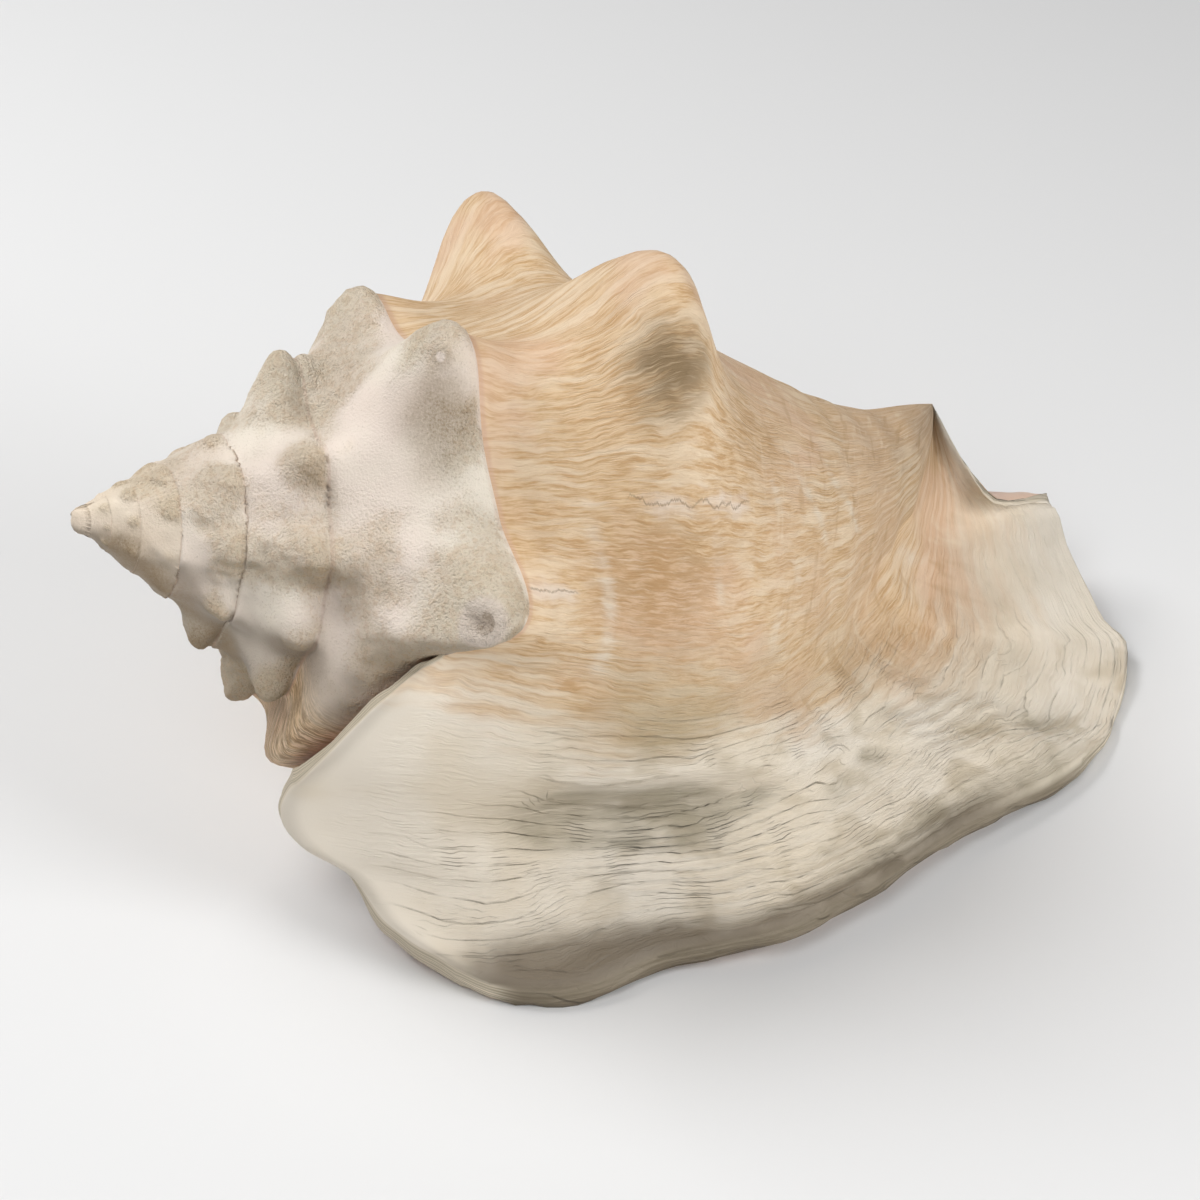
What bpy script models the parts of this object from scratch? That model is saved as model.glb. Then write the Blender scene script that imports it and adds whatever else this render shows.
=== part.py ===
"""Queen conch shell: one spiral tube whose last turn flares into a wide lip.

Lengths in the constants are millimetres and the object itself is in metres.
The shell is described by growth lines. Each growth line is a curve from the seam
with the older turn (share 0), over the knobbed shoulder, down to the canal (share 1).
A growth angle says how far the shell had wound when that line was its edge:
0 faces up, 90 faces the front, and older lines have lower angles.
"""

import math

import bmesh
import bpy
import numpy as np

MM = 0.001

# Divisions of the faceted surface.
TURN_COLUMNS = 54
RAMP_ROWS = 6
BASE_ROWS = 17
WING_COLUMNS = 15

# Spire tip, winding axis and the middle of the footprint.
APEX = np.array([-113.0, -1.0, 89.0])
AXIS_DROP = math.radians(18.0)
AXIS = np.array([math.cos(AXIS_DROP), 0.0, -math.sin(AXIS_DROP)])
UP = np.array([math.sin(AXIS_DROP), 0.0, math.cos(AXIS_DROP)])
FRONT = np.array([0.0, -1.0, 0.0])
FOOTPRINT_MIDDLE = np.array([6.8, -2.2, 0.0])

# Growth angles of the first line, of the line where the lip leaves the body, and of the cavity's end.
FIRST_ANGLE = -2160.0
ATTACH_ANGLE = 84.0
DEEP_ANGLE = -70.0

# One growth line of the full-size turn: share, radius from the axis, distance from the spire tip.
SEAM_SHARE = 0.30
PROFILE_SHARE = [0.00, 0.10, 0.22, 0.30, 0.42, 0.56, 0.70, 0.84, 0.93, 1.0]
BODY_RADIUS = [46.0, 50.0, 54.5, 55.5, 53.0, 45.0, 33.0, 20.0, 13.5, 8.0]
BODY_ALONG = [78.0, 87.0, 101.0, 110.0, 124.0, 143.0, 165.0, 188.0, 201.0, 209.0]
CORE_RADIUS = [46.0, 49.0, 51.0, 49.0, 40.0, 28.0, 18.0, 11.0, 7.0, 3.0]
CORE_ALONG = [78.0, 87.0, 100.0, 112.0, 128.0, 149.0, 168.0, 185.0, 195.0, 202.0]

# Size of a turn against the full-size turn, as a natural logarithm.
SCALE_TURN = [-9.0, -8.0, -7.0, -6.0, -5.0, -4.0, -3.0, -2.0, -1.0, 0.0, 0.5]
SCALE_LOG = [-2.78, -2.48, -2.18, -1.88, -1.58, -1.28, -0.966, -0.666, -0.336, 0.0, 0.15]

# Seam between one turn and the next: growth angle, distance from the spire tip, radius.
SEAM = np.array([
    (-2160, 2.4, 2.6), (-1800, 6.0, 4.2), (-1440, 11.0, 6.7),
    (-1080, 18.0, 10.6), (-920, 22.0, 12.3), (-720, 29.5, 17.2), (-560, 34.5, 19.0),
    (-420, 45.0, 27.0), (-360, 44.0, 27.5), (-270, 46.5, 28.0), (-200, 48.0, 29.0),
    (-130, 54.0, 36.0), (-60, 62.0, 42.0), (0, 64.0, 45.0), (50, 74.0, 47.0),
    (72, 77.0, 47.0), (84, 66.0, 43.0), (110, 62.0, 43.0), (180, 60.0, 43.0)])

# The canal end of the axis bends to the back and up, and closes at the canal tip.
BEND_START = 100.0
BEND_END = 215.0
BEND = np.array([2.0, 30.0, 20.0])
TIP_BEND = np.array([2.5, 9.0, 6.0])
CANAL_TIP = np.array([95.0, 40.0, 50.0])
CANAL_WAY = np.array([0.886, 0.464, 0.0])
CANAL_DEPTH = 30.0

# The underside of the last turn swells and leans towards the spire.
UNDERSIDE_ANGLE = -208.0
UNDERSIDE_SWELL = 10.0
UNDERSIDE_LEAN = 13.0

# Knobs on the shoulder of the last turns: growth angle, height, half width along the shoulder.
KNOBS = [
    (11, 26, 20), (-58, 39, 15.5), (-104, 22, 13), (-150, 40, 18), (-196, 14, 12),
    (-240, 5, 12), (-288, 22, 10), (-345, 23, 11), (-397, 15, 11), (-450, 13, 11),
    (-492, 16, 11), (-544, 19, 11), (-586, 14, 9), (-622, 12, 9), (-655, 13, 8),
    (-692, 11, 8), (-742, 24, 12), (-795, 16, 10), (-838, 12, 9.5), (-881, 15, 9.5),
    (-921, 20, 10)]
OLD_KNOB_SPACING = 43
OLD_KNOB_COUNT = 28
OLD_KNOB_HEIGHT = 12
OLD_KNOB_WIDTH = 9.5
KNOBS += [(-967 - OLD_KNOB_SPACING * k, OLD_KNOB_HEIGHT, OLD_KNOB_WIDTH) for k in range(OLD_KNOB_COUNT)]
SHOULDER_RADIUS = 55.0
KNOB_HALF_DEPTH = 13.0

# Foot of the lip's rim from the rear corner round to the canal tip, by share of the growth line.
LIP_SHARE = [0.0, 0.08, 0.16, 0.27, 0.36, 0.49, 0.66, 0.72, 0.78, 0.82, 0.865, 0.90, 0.94, 0.965, 1.0]
LIP = [
    (-48, -75, -0.5), (-30, -80.5, -0.5), (-11.5, -77, 0.5), (13.5, -79.5, 3), (34, -73.5, 3),
    (63, -59.5, 2), (99, -44, -0.5), (113, -31, 0), (128, -7, 5), (125, 2, 8),
    (124, 20, 16), (124, 31, 21), (101, 16, 36), (95.5, 20, 45), (95, 40, 50)]

# Direction in which the lip flares as it reaches its rim.
FLARE_SHARE = [0.0, 0.5, 0.66, 0.74, 0.82, 0.90, 0.94, 1.0]
FLARE = [
    (-0.1, -1.0, -0.35), (0.1, -1.0, -0.35), (0.5, -0.8, -0.3), (0.7, -0.4, -0.2),
    (0.8, 0.1, -0.2), (0.8, 0.1, -0.3), (0.5, -0.7, -0.5), (0.4, -0.7, -0.5)]

# Rear margin of the lip, from where it leaves the seam (reach 0) to the rear corner (reach 1).
MARGIN_REACH = [0.0, 0.14, 0.30, 0.46, 0.54, 0.62, 0.72, 0.86, 1.0]
MARGIN = [
    (-61, -46, 65.5), (-72, -44, 52), (-80.5, -38, 36), (-81.5, -37, 29),
    (-78, -39.5, 23), (-69.5, -44, 17), (-63, -56.5, 11), (-49.5, -72.5, 7)]

# Thickness of the rim, of the body's wall and of the flared lip.
RIM_HEIGHT = 7.0
WALL = 4.5
LIP_WALL = 8.0

SHELL_COLOUR = (0.62, 0.45, 0.28, 1.0)
SHELL_ROUGHNESS = 0.6


def smooth_curve(knots, values, at):
    """Smooth curve through the given values, read at the given places."""
    knots = np.asarray(knots, float)
    values = np.asarray(values, float)
    if values.ndim == 1:
        return smooth_curve(knots, values[:, None], at)[..., 0]
    at = np.clip(np.asarray(at, float), knots[0], knots[-1])
    slope = np.diff(values, axis=0) / np.diff(knots)[:, None]
    tangent = np.vstack([slope[:1], 0.5 * (slope[1:] + slope[:-1]), slope[-1:]])
    cell = np.clip(np.searchsorted(knots, at, side="right") - 1, 0, len(knots) - 2)
    span = knots[cell + 1] - knots[cell]
    t = ((at - knots[cell]) / span)[..., None]
    span = span[..., None]
    start = (2 * t**3 - 3 * t**2 + 1) * values[cell] + (t**3 - 2 * t**2 + t) * span * tangent[cell]
    end = (3 * t**2 - 2 * t**3) * values[cell + 1] + (t**3 - t**2) * span * tangent[cell + 1]
    return start + end


def ease(low, high, x):
    """0 below low, 1 above high, smooth between."""
    t = np.clip((np.asarray(x, float) - low) / (high - low), 0.0, 1.0)
    return t * t * (3 - 2 * t)


def unit(vectors):
    length = np.linalg.norm(vectors, axis=-1)
    return vectors / (length[..., None] + 1e-9)


def growth_shares():
    """Shares of the points on a growth line, closer together towards the canal."""
    ramp = SEAM_SHARE * np.linspace(0, 1, RAMP_ROWS + 1)
    x = np.linspace(0, 1, BASE_ROWS + 1)[1:]
    base = SEAM_SHARE + (1 - SEAM_SHARE) * (1 - (1 - x)**1.25)
    return np.concatenate([ramp, base])


def bend_offset(along):
    t = np.maximum(0.0, (along - BEND_START) / (BEND_END - BEND_START))[..., None]
    return t**2 * BEND + t**6 * TIP_BEND


def axis_point(along):
    return APEX + np.asarray(along)[..., None] * AXIS + bend_offset(np.asarray(along))


def outward(angle):
    turn = math.radians(angle)
    return math.cos(turn) * UP + math.sin(turn) * FRONT


def around_axis(points):
    """Distance along the axis, radius and angle of each point."""
    straight = points - APEX
    along = straight @ AXIS
    for _ in range(3):
        straight = points - APEX - bend_offset(along)
        along = straight @ AXIS
    up = straight @ UP
    front = straight @ FRONT
    return along, np.hypot(up, front), np.degrees(np.arctan2(front, up))


def seam_at(angle):
    return smooth_curve(SEAM[:, 0], SEAM[:, 1:], angle)


def line_size(angle, share):
    """Size of a growth line, stretched so that the last turns all reach the canal tip."""
    size = float(np.exp(smooth_curve(SCALE_TURN, SCALE_LOG, angle / 360.0)))
    reaches_tip = ease(-520.0, -440.0, angle)
    return size + (1 - size) * ease(0.35, 1.0, share) * reaches_tip, reaches_tip


def seat_on_seams(angle, share, radius, along):
    """Moves a line onto the seam with the older turn and, where covered, under the newer seam."""
    start = seam_at(angle)
    end = seam_at(min(angle + 360.0, 180.0))
    is_free = ease(ATTACH_ANGLE - 360.0, -150.0, angle)
    part = np.clip(share / SEAM_SHARE, 0.0, 1.0)
    tail = np.clip(1.0 - (share - SEAM_SHARE) / 0.3, 0.0, 1.0)**2
    near = (1 - part)**(1 + is_free)
    far = (1 - is_free) * np.where(share <= SEAM_SHARE, part, tail)
    new_along = along + near * (start[0] - along[0]) + far * (end[0] - along[RAMP_ROWS])
    new_radius = radius + near * (start[1] - radius[0]) + far * (end[1] - radius[RAMP_ROWS])
    return new_radius, new_along


def growth_line(angle, share):
    """Points of one growth line without knobs, with their radius and distance along the axis."""
    size, reaches_tip = line_size(angle, share)
    is_open = ease(-285.0, -130.0, angle)
    core_radius = smooth_curve(PROFILE_SHARE, CORE_RADIUS, share)
    core_along = smooth_curve(PROFILE_SHARE, CORE_ALONG, share)
    body_radius = smooth_curve(PROFILE_SHARE, BODY_RADIUS, share)
    body_along = smooth_curve(PROFILE_SHARE, BODY_ALONG, share)
    radius = size * (core_radius + (body_radius - core_radius) * is_open)
    along = size * (core_along + (body_along - core_along) * is_open)
    radius, along = seat_on_seams(angle, share, radius, along)
    swell = math.exp(-((angle - UNDERSIDE_ANGLE) / 38.0)**2) * np.exp(-((share - 0.12) / 0.08)**2)
    radius = radius + UNDERSIDE_SWELL * swell
    along = along - UNDERSIDE_LEAN * swell
    points = axis_point(along) + radius[:, None] * outward(angle)
    if reaches_tip > 0:
        close = ease(0.90, 1.0, share)[:, None]
        points = points * (1 - close) + CANAL_TIP * close
    return points, radius, along


def knob_height(angle, share, radius, along):
    """How far the knobs push each point of a growth line outward."""
    peak = 0.255 - 0.03 * ease(-300.0, -200.0, angle) + 0.015 * ease(-100.0, -40.0, angle)
    peak_along = np.interp(peak, share, along)
    peak_radius = np.interp(peak, share, radius)
    size = peak_radius / SHOULDER_RADIUS
    across = np.hypot(along - peak_along, radius - peak_radius) / (KNOB_HALF_DEPTH * size)
    height = np.zeros(len(share))
    for centre, knob, half_width in KNOBS:
        if abs(centre - angle) > 60:
            continue
        beside = math.radians(angle - centre) * peak_radius / (half_width * size)
        away = np.sqrt(beside**2 + across**2 + 0.06) - math.sqrt(0.06)
        height += knob * size * np.exp(-1.15 * away**1.5)
    end = 0.40 + 0.2 * ease(-290.0, -230.0, angle)
    return height * (1 - ease(end - 0.08, end, share))


def growth_angles():
    step = 360.0 / TURN_COLUMNS
    count = int(round((ATTACH_ANGLE - FIRST_ANGLE) / step))
    return ATTACH_ANGLE - step * np.arange(count, -1, -1)


def whorls():
    """Every growth line up to the lip, without knobs and with knobs."""
    plain = []
    knobbed = []
    share = growth_shares()
    seat = ((1 - np.clip(share / 0.25, 0, 1))**2)[:, None]
    for i, angle in enumerate(growth_angles()):
        line, radius, along = growth_line(angle, share)
        lean = 0.2 - float(0.15 * ease(-440.0, -410.0, angle) + 0.05 * ease(-300.0, -100.0, angle))
        push = outward(angle) * math.cos(lean) - AXIS * math.sin(lean)
        bumps = line + knob_height(angle, share, radius, along)[:, None] * push
        if i >= TURN_COLUMNS:
            bumps = bumps + (knobbed[i - TURN_COLUMNS][RAMP_ROWS] - bumps[0]) * seat
            line = line + (plain[i - TURN_COLUMNS][RAMP_ROWS] - line[0]) * seat
        plain.append(line)
        knobbed.append(bumps)
    return np.array(plain), np.array(knobbed)


def older_radius(angles, lines):
    """Reader of the older turn's radius under a growth angle, at a distance along the axis."""
    step = angles[1] - angles[0]
    read = [around_axis(line) for line in lines]

    def radius_at(angle, along):
        x = np.clip((angle - 360.0 - angles[0]) / step, 0, len(angles) - 2)
        i = int(x)
        total = 0.0
        for column, weight in ((i, 1 - x + i), (i + 1, x - i)):
            order = np.argsort(read[column][0])
            place = read[column][0][order]
            radius = read[column][1][order]
            total += weight * np.interp(along, place, radius, left=0.0, right=0.0)
        return total

    return radius_at


def lift_clear(line, need, radius_at):
    """Keeps a line at least the needed distance outside the older turn."""
    along, radius, angle = around_axis(line)
    angle = np.where(angle < -75.0, angle + 360.0, angle)
    lifted = line.copy()
    for j in range(len(line)):
        if angle[j] > 260.0 or need[j] <= 0:
            continue
        short = radius_at(angle[j], along[j]) + need[j] - radius[j]
        if short > -4.0:
            push = (short + 4.0)**2 / 16.0 if short < 4.0 else short
            lifted[j] += push * outward(angle[j])
    return lifted


def rim_share(share):
    """The rim's thickness falls off towards the canal tip."""
    return 1 - 0.65 * ease(0.68, 0.86, share) - 0.35 * ease(0.9, 1.0, share)


def front_share(share):
    """1 along the front of the lip, where the rim stands on the floor, and 0 at the canal end."""
    return 1 - ease(0.62, 0.80, share)


def wing(lines, radius_at):
    """Lines from the last growth line of the body out to the lip's rim."""
    share = growth_shares()
    start = lines[-1]
    leave = unit(lines[-1] - lines[-3])
    rim = smooth_curve(LIP_SHARE, LIP, share)
    rim[:, 2] += RIM_HEIGHT * rim_share(share) * front_share(share)
    rim[:, 1] += 1.5 * front_share(share)
    gap = np.linalg.norm(rim - start, axis=1)[:, None]
    land = smooth_curve(FLARE_SHARE, FLARE, share) * 0.8
    reach = np.linspace(0, 1, WING_COLUMNS + 1)[1:]
    margin = smooth_curve(MARGIN_REACH, [start[0]] + MARGIN, reach)
    to_margin = ((1 - np.clip(share / 0.40, 0, 1))**1.5)[:, None]
    out = []
    for k, t in enumerate(reach):
        line = (2 * t**3 - 3 * t**2 + 1) * start + (t**3 - 2 * t**2 + t) * leave * gap
        line = line + (3 * t**2 - 2 * t**3) * rim + (t**3 - t**2) * land * gap
        line = line + (margin[k] - line[0]) * to_margin
        need = 1.0 + 9.5 * ease(0.0, 0.15, t) * (0.6 + 0.4 * ease(0.0, 0.2, share))
        out.append(lift_clear(line, need * (1 - ease(0.55, 0.8, share)), radius_at))
    return np.array(out)


def surface_normals(lines):
    normal = unit(np.cross(np.gradient(lines, axis=0), np.gradient(lines, axis=1)))
    angle = around_axis(lines.reshape(-1, 3))[2]
    out = np.array([outward(x) for x in angle]).reshape(lines.shape)
    if (normal * out).sum(axis=2)[:6].mean() < 0:
        return -normal
    return normal


class Surface:
    """Corner points and faces of the closed surface, put together sheet by sheet."""

    def __init__(self):
        self.points = []
        self.faces = []

    def add(self, point):
        self.points.append(np.asarray(point, float))
        return len(self.points) - 1

    def add_line(self, line):
        return [self.add(point) for point in line]

    def face(self, *corners):
        kept = [corner for n, corner in enumerate(corners) if corner != corners[n - 1]]
        if len(set(kept)) >= 3:
            self.faces.append(kept)

    def sheet(self, lines):
        for a, b in zip(lines[:-1], lines[1:]):
            for j in range(len(a) - 1):
                self.face(a[j], b[j], b[j + 1], a[j + 1])


class Shell:
    """The whole shell: spire, body, flared lip, and the cavity that winds in behind the lip."""

    def __init__(self):
        self.surface = Surface()
        self.tip = self.surface.add(CANAL_TIP)
        self.share = growth_shares()
        self.rows = RAMP_ROWS + BASE_ROWS
        self.angles = growth_angles()
        self.last = len(self.angles) - 1
        self.back = self.last - TURN_COLUMNS
        self.deep = int(round((DEEP_ANGLE - self.angles[0]) / (self.angles[1] - self.angles[0])))
        self.plain, self.knobbed = whorls()
        self.wing = wing(self.knobbed, older_radius(self.angles, self.knobbed))
        self.outer_lines = self.add_outside()
        self.add_spire_tip()
        self.add_cavity()
        self.add_lip()
        self.add_inner_turn()
        self.close_cavity()

    def add_outside(self):
        """The outside of every turn. A turn starts on the points where the older turn ends."""
        lines = []
        for i in range(self.last + 1):
            top = self.rows if i >= self.back else RAMP_ROWS
            own = self.knobbed[i][:min(top + 1, self.rows)]
            if i >= TURN_COLUMNS:
                line = [lines[i - TURN_COLUMNS][RAMP_ROWS]] + self.surface.add_line(own[1:])
            else:
                line = self.surface.add_line(own)
            if top == self.rows:
                line.append(self.tip)
            lines.append(line)
        self.surface.sheet([line[:RAMP_ROWS + 1] for line in lines[:self.back + 1]])
        self.surface.sheet(lines[self.back:])
        return lines

    def add_spire_tip(self):
        apex = self.surface.add(APEX + 0.2 * AXIS)
        first = self.outer_lines[0][RAMP_ROWS::-1]
        around = first + [self.outer_lines[i][0] for i in range(1, TURN_COLUMNS + 1)]
        for a, b in zip(around[:-1], around[1:]):
            self.surface.face(apex, a, b)

    def wall_thickness(self, reach):
        """Thickness along a growth line, thicker in the flared lip and thin at the canal."""
        taper = (1 - 0.72 * ease(0.45, 0.9, self.share)) * (1 - ease(0.9, 1.0, self.share))
        return (WALL + (LIP_WALL - WALL) * ease(0.2, 0.9, reach)) * taper

    def narrow_to_core(self, line, outer, column, wall):
        """Brings the inner face of the wall onto the columella where the canal gets narrow."""
        core = self.plain[column - TURN_COLUMNS]
        gap = np.linalg.norm(outer - core, axis=1) + 1e-6
        part = np.minimum(wall / gap, 0.45)[:, None]
        close = ease(0.5, 0.72, self.share)[:, None]
        return line * (1 - close) + (outer + (core - outer) * part) * close

    def add_cavity(self):
        """The inner face of the outer wall and the underside of the flared lip."""
        outer = np.concatenate([self.plain[self.deep - 1:], self.wing])
        normal = surface_normals(outer)
        count = self.last - self.deep + 1
        under_plain = older_radius(self.angles, self.plain)
        under_knobs = older_radius(self.angles, self.knobbed)
        room = (1.0 + 2.0 * ease(0.0, 0.3, self.share)) * (1 - ease(0.6, 0.85, self.share))
        self.depth = CANAL_DEPTH * ease(0.0, 1.0, 1 - np.arange(count) / (count - 1))
        self.canal_end = [self.surface.add(CANAL_TIP - d * CANAL_WAY) for d in self.depth[:-1]]
        self.canal_end.append(self.tip)
        self.to_tip = ease(0.86, 1.0, self.share)[:, None]
        lines = []
        for c in range(1, len(outer)):
            reach = (c - count) / WING_COLUMNS
            wall = self.wall_thickness(reach)
            line = outer[c] - normal[c] * wall[:, None]
            if reach <= 0:
                line[0] = 0.35 * line[0] + 0.65 * line[1]
                line = self.narrow_to_core(line, outer[c], self.deep - 1 + c, wall)
            line = lift_clear(line, room, under_plain if reach <= 0 else under_knobs)
            if reach <= 0:
                line = line - self.to_tip * self.depth[c - 1] * CANAL_WAY
            lines.append(line)
        self.rim_normal = normal[-1]
        self.make_rim_foot(lines)
        ends = self.canal_end + [self.tip] * WING_COLUMNS
        self.inner_lines = [self.surface.add_line(line[:-1]) + [end] for line, end in zip(lines, ends)]
        self.surface.sheet(self.inner_lines)

    def make_rim_foot(self, lines):
        """The edge where the lip's rim meets its underside."""
        thick = rim_share(self.share)[:, None]
        front = front_share(self.share)[:, None]
        low = smooth_curve(LIP_SHARE, LIP, self.share)
        self.foot = low * front + (self.wing[-1] - self.rim_normal * RIM_HEIGHT * thick) * (1 - front)
        run = self.wing[-1] - self.wing[-3]
        run[:, 2] *= 0.3
        self.run = unit(run) * thick
        lines[-1] = self.foot - self.run * 3.5 * front

    def add_lip(self):
        """The top of the flared lip, its rounded rim and its rear margin."""
        add_line = self.surface.add_line
        top = [self.outer_lines[self.last]]
        top += [add_line(line[:-1]) + [self.tip] for line in self.wing]
        self.surface.sheet(top)
        below = self.inner_lines[self.last - self.deep:]
        between = self.foot + (self.wing[-1] - self.foot) * 0.35 + self.run * 0.6
        middle = add_line(between[:-1]) + [self.tip]
        self.surface.sheet([top[-1], middle, below[-1]])
        side = [self.margin_point(top[k], below[k], k) for k in range(WING_COLUMNS)]
        side.append(middle[0])
        self.surface.sheet([[top[k][0], side[k], below[k][0]] for k in range(WING_COLUMNS + 1)])
        self.margin_start = side[0]

    def margin_point(self, top, below, k):
        upper = self.surface.points[top[0]]
        lower = self.surface.points[below[0]]
        out = unit(upper - self.surface.points[top[1]])
        bulge = 0.22 * float(ease(0, 5, k)) * np.linalg.norm(upper - lower)
        return self.surface.add(0.5 * (upper + lower) + out * bulge)

    def add_inner_turn(self):
        """The older turn seen inside the opening, running into the columella."""
        self.core_lines = []
        for c, i in enumerate(range(self.deep - TURN_COLUMNS, self.back)):
            line = self.plain[i] - self.to_tip * self.depth[c] * CANAL_WAY
            self.core_lines.append(self.surface.add_line(line[RAMP_ROWS + 1:-1]) + [self.canal_end[c]])
        self.core_lines.append(self.outer_lines[self.back][RAMP_ROWS + 1:])
        self.surface.sheet(self.core_lines)

    def close_cavity(self):
        """The seam corner inside the cavity, and the cavity's blind end."""
        inner = self.inner_lines
        core = self.core_lines
        self.surface.sheet([[a[0], b[0]] for a, b in zip(inner, core)])
        root = self.last - self.deep
        seam_corner = self.outer_lines[self.last][0]
        self.surface.face(seam_corner, self.margin_start, inner[root][0], core[root][0])
        for j in range(RAMP_ROWS + 1):
            self.surface.face(core[0][0], inner[0][j], inner[0][j + 1])
        for j in range(RAMP_ROWS + 1, self.rows):
            k = j - RAMP_ROWS
            self.surface.face(inner[0][j], inner[0][j + 1], core[0][k], core[0][k - 1])

    def placed_points(self):
        """All points in metres, worn flat where the shell stands, with the origin under its middle."""
        points = np.array(self.surface.points)
        points[:, 2] = np.maximum(points[:, 2], 0.0)
        return (points - FOOTPRINT_MIDDLE) * MM


def clear_scene():
    for thing in list(bpy.data.objects):
        bpy.data.objects.remove(thing, do_unlink=True)


def shell_material():
    material = bpy.data.materials.new("shell_surface")
    material.use_nodes = True
    surface = material.node_tree.nodes["Principled BSDF"]
    surface.inputs["Base Color"].default_value = SHELL_COLOUR
    surface.inputs["Roughness"].default_value = SHELL_ROUGHNESS
    surface.inputs["Metallic"].default_value = 0.0
    return material


def shell_object():
    shell = Shell()
    mesh = bpy.data.meshes.new("shell")
    solid = bmesh.new()
    corners = [solid.verts.new(point) for point in shell.placed_points()]
    for face in shell.surface.faces:
        solid.faces.new([corners[n] for n in face])
    bmesh.ops.recalc_face_normals(solid, faces=solid.faces)
    if solid.calc_volume(signed=True) < 0:
        bmesh.ops.reverse_faces(solid, faces=solid.faces)
    bmesh.ops.triangulate(solid, faces=solid.faces)
    solid.to_mesh(mesh)
    solid.free()
    mesh.shade_smooth()
    mesh.materials.append(shell_material())
    shell_part = bpy.data.objects.new("shell", mesh)
    bpy.context.scene.collection.objects.link(shell_part)
    return shell_part


def main():
    clear_scene()
    shell_object()


main()
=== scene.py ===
"""Dressed queen conch shell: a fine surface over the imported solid, its finish, floor, light and camera."""

import math

import bmesh
import bpy
import numpy as np
from bpy.props import FloatProperty, FloatVectorProperty, IntProperty, PointerProperty
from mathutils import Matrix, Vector


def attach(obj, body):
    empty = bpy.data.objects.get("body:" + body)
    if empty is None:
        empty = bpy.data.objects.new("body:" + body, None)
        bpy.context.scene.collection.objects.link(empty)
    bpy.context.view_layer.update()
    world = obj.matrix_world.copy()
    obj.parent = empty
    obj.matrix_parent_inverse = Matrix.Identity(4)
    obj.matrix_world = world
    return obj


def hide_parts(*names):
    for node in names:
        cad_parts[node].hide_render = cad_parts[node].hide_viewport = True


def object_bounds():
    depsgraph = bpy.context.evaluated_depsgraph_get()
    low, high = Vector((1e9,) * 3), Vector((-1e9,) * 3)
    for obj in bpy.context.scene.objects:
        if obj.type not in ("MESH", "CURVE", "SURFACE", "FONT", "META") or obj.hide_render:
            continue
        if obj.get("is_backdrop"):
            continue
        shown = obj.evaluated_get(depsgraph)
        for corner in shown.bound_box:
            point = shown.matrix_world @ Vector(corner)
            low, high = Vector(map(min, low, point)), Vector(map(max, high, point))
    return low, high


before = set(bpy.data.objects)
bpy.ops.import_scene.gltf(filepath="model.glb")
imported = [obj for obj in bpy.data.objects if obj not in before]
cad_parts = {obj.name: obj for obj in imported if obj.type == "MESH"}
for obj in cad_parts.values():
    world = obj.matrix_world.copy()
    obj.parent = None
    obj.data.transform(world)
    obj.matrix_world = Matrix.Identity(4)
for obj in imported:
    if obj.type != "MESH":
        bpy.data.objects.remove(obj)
CAD_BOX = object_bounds()

bl_info = {
    "name": "Queen Conch Shell",
    "version": (1, 0, 0),
    "blender": (4, 5, 0),
    "location": "View3D > Sidebar > Conch",
    "description": "Builds a weathered queen conch shell on its packed solid",
    "category": "Object",
}

# The surface below is worked out in millimetres and placed in metres.
MM = 0.001

# Divisions of the fine surface.
TURN_COLUMNS = 216
RAMP_ROWS = 22
BASE_ROWS = 64
WING_COLUMNS = 100
RIM_LINES = 6

# How much closer together the rows of the net stand towards the canal.
CROWDING = 1.25

# Growth angles that the flared lip adds between the body and its rim, and that the rim adds.
WING_GROWTH = 60.0
RIM_GROWTH = 4.0

# Ridges of the body: growth angle from one to the next, and height (mm).
RIDGE_SPACING = 3.4
RIDGE_HEIGHT = 0.24

# Cords that run across the growth lines near the canal: share from one to the next, and height (mm).
CORD_SPACING = 0.075
CORD_HEIGHT = 0.35

# Line between two turns: half-width as a share, and depth (mm).
SEAM_WIDTH = 0.011
SEAM_DEPTH = 0.4

# Share of a growth line at which the knobs stand highest, and the share to their foot.
KNOB_SHARE = 0.25
KNOB_REACH = 0.075

# Growth angles between which the bleached old surface gives way to the newer one.
OLD_SURFACE = (-252.0, -234.0)

# Growth angles between which the worn, nearly smooth tip of the spire gives way to sharper turns.
WORN_TIP = (-1500.0, -800.0)

# Turns before this growth angle are drawn together to a cone, this many times as wide as they are.
TIP_END = -600.0
TIP_FULLNESS = 1.06

# Dips and crests of the lip: growth angle, share along the line, height (mm), half-widths of both.
FOLDS = [
    (114.5, 0.225, -5.4, 8.0, 0.08), (103.0, 0.365, 3.0, 4.5, 0.035), (113.5, 0.345, -2.2, 4.0, 0.045),
    (121.0, 0.43, -2.4, 5.5, 0.05), (110.0, 0.47, 2.0, 4.0, 0.03), (94.0, 0.728, -2.4, 5.0, 0.03),
    (117.0, 0.511, -2.2, 4.0, 0.025), (131.0, 0.70, -2.0, 5.0, 0.04), (100.0, 0.60, 1.6, 8.0, 0.045),
    (128.0, 0.57, 1.4, 5.0, 0.04), (132.0, 0.36, -1.8, 4.0, 0.04), (110.0, 0.62, -1.6, 4.0, 0.03),
    (66.0, 0.60, -0.9, 12.0, 0.03), (126.0, 0.17, 1.2, 3.0, 0.06), (58.0, 0.24, -0.8, 10.0, 0.03)]

# Pits: middle (mm), radius and depth (mm).
PITS = [((-43.6, -59.0, 87.0), 3.8, 2.6)]

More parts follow.
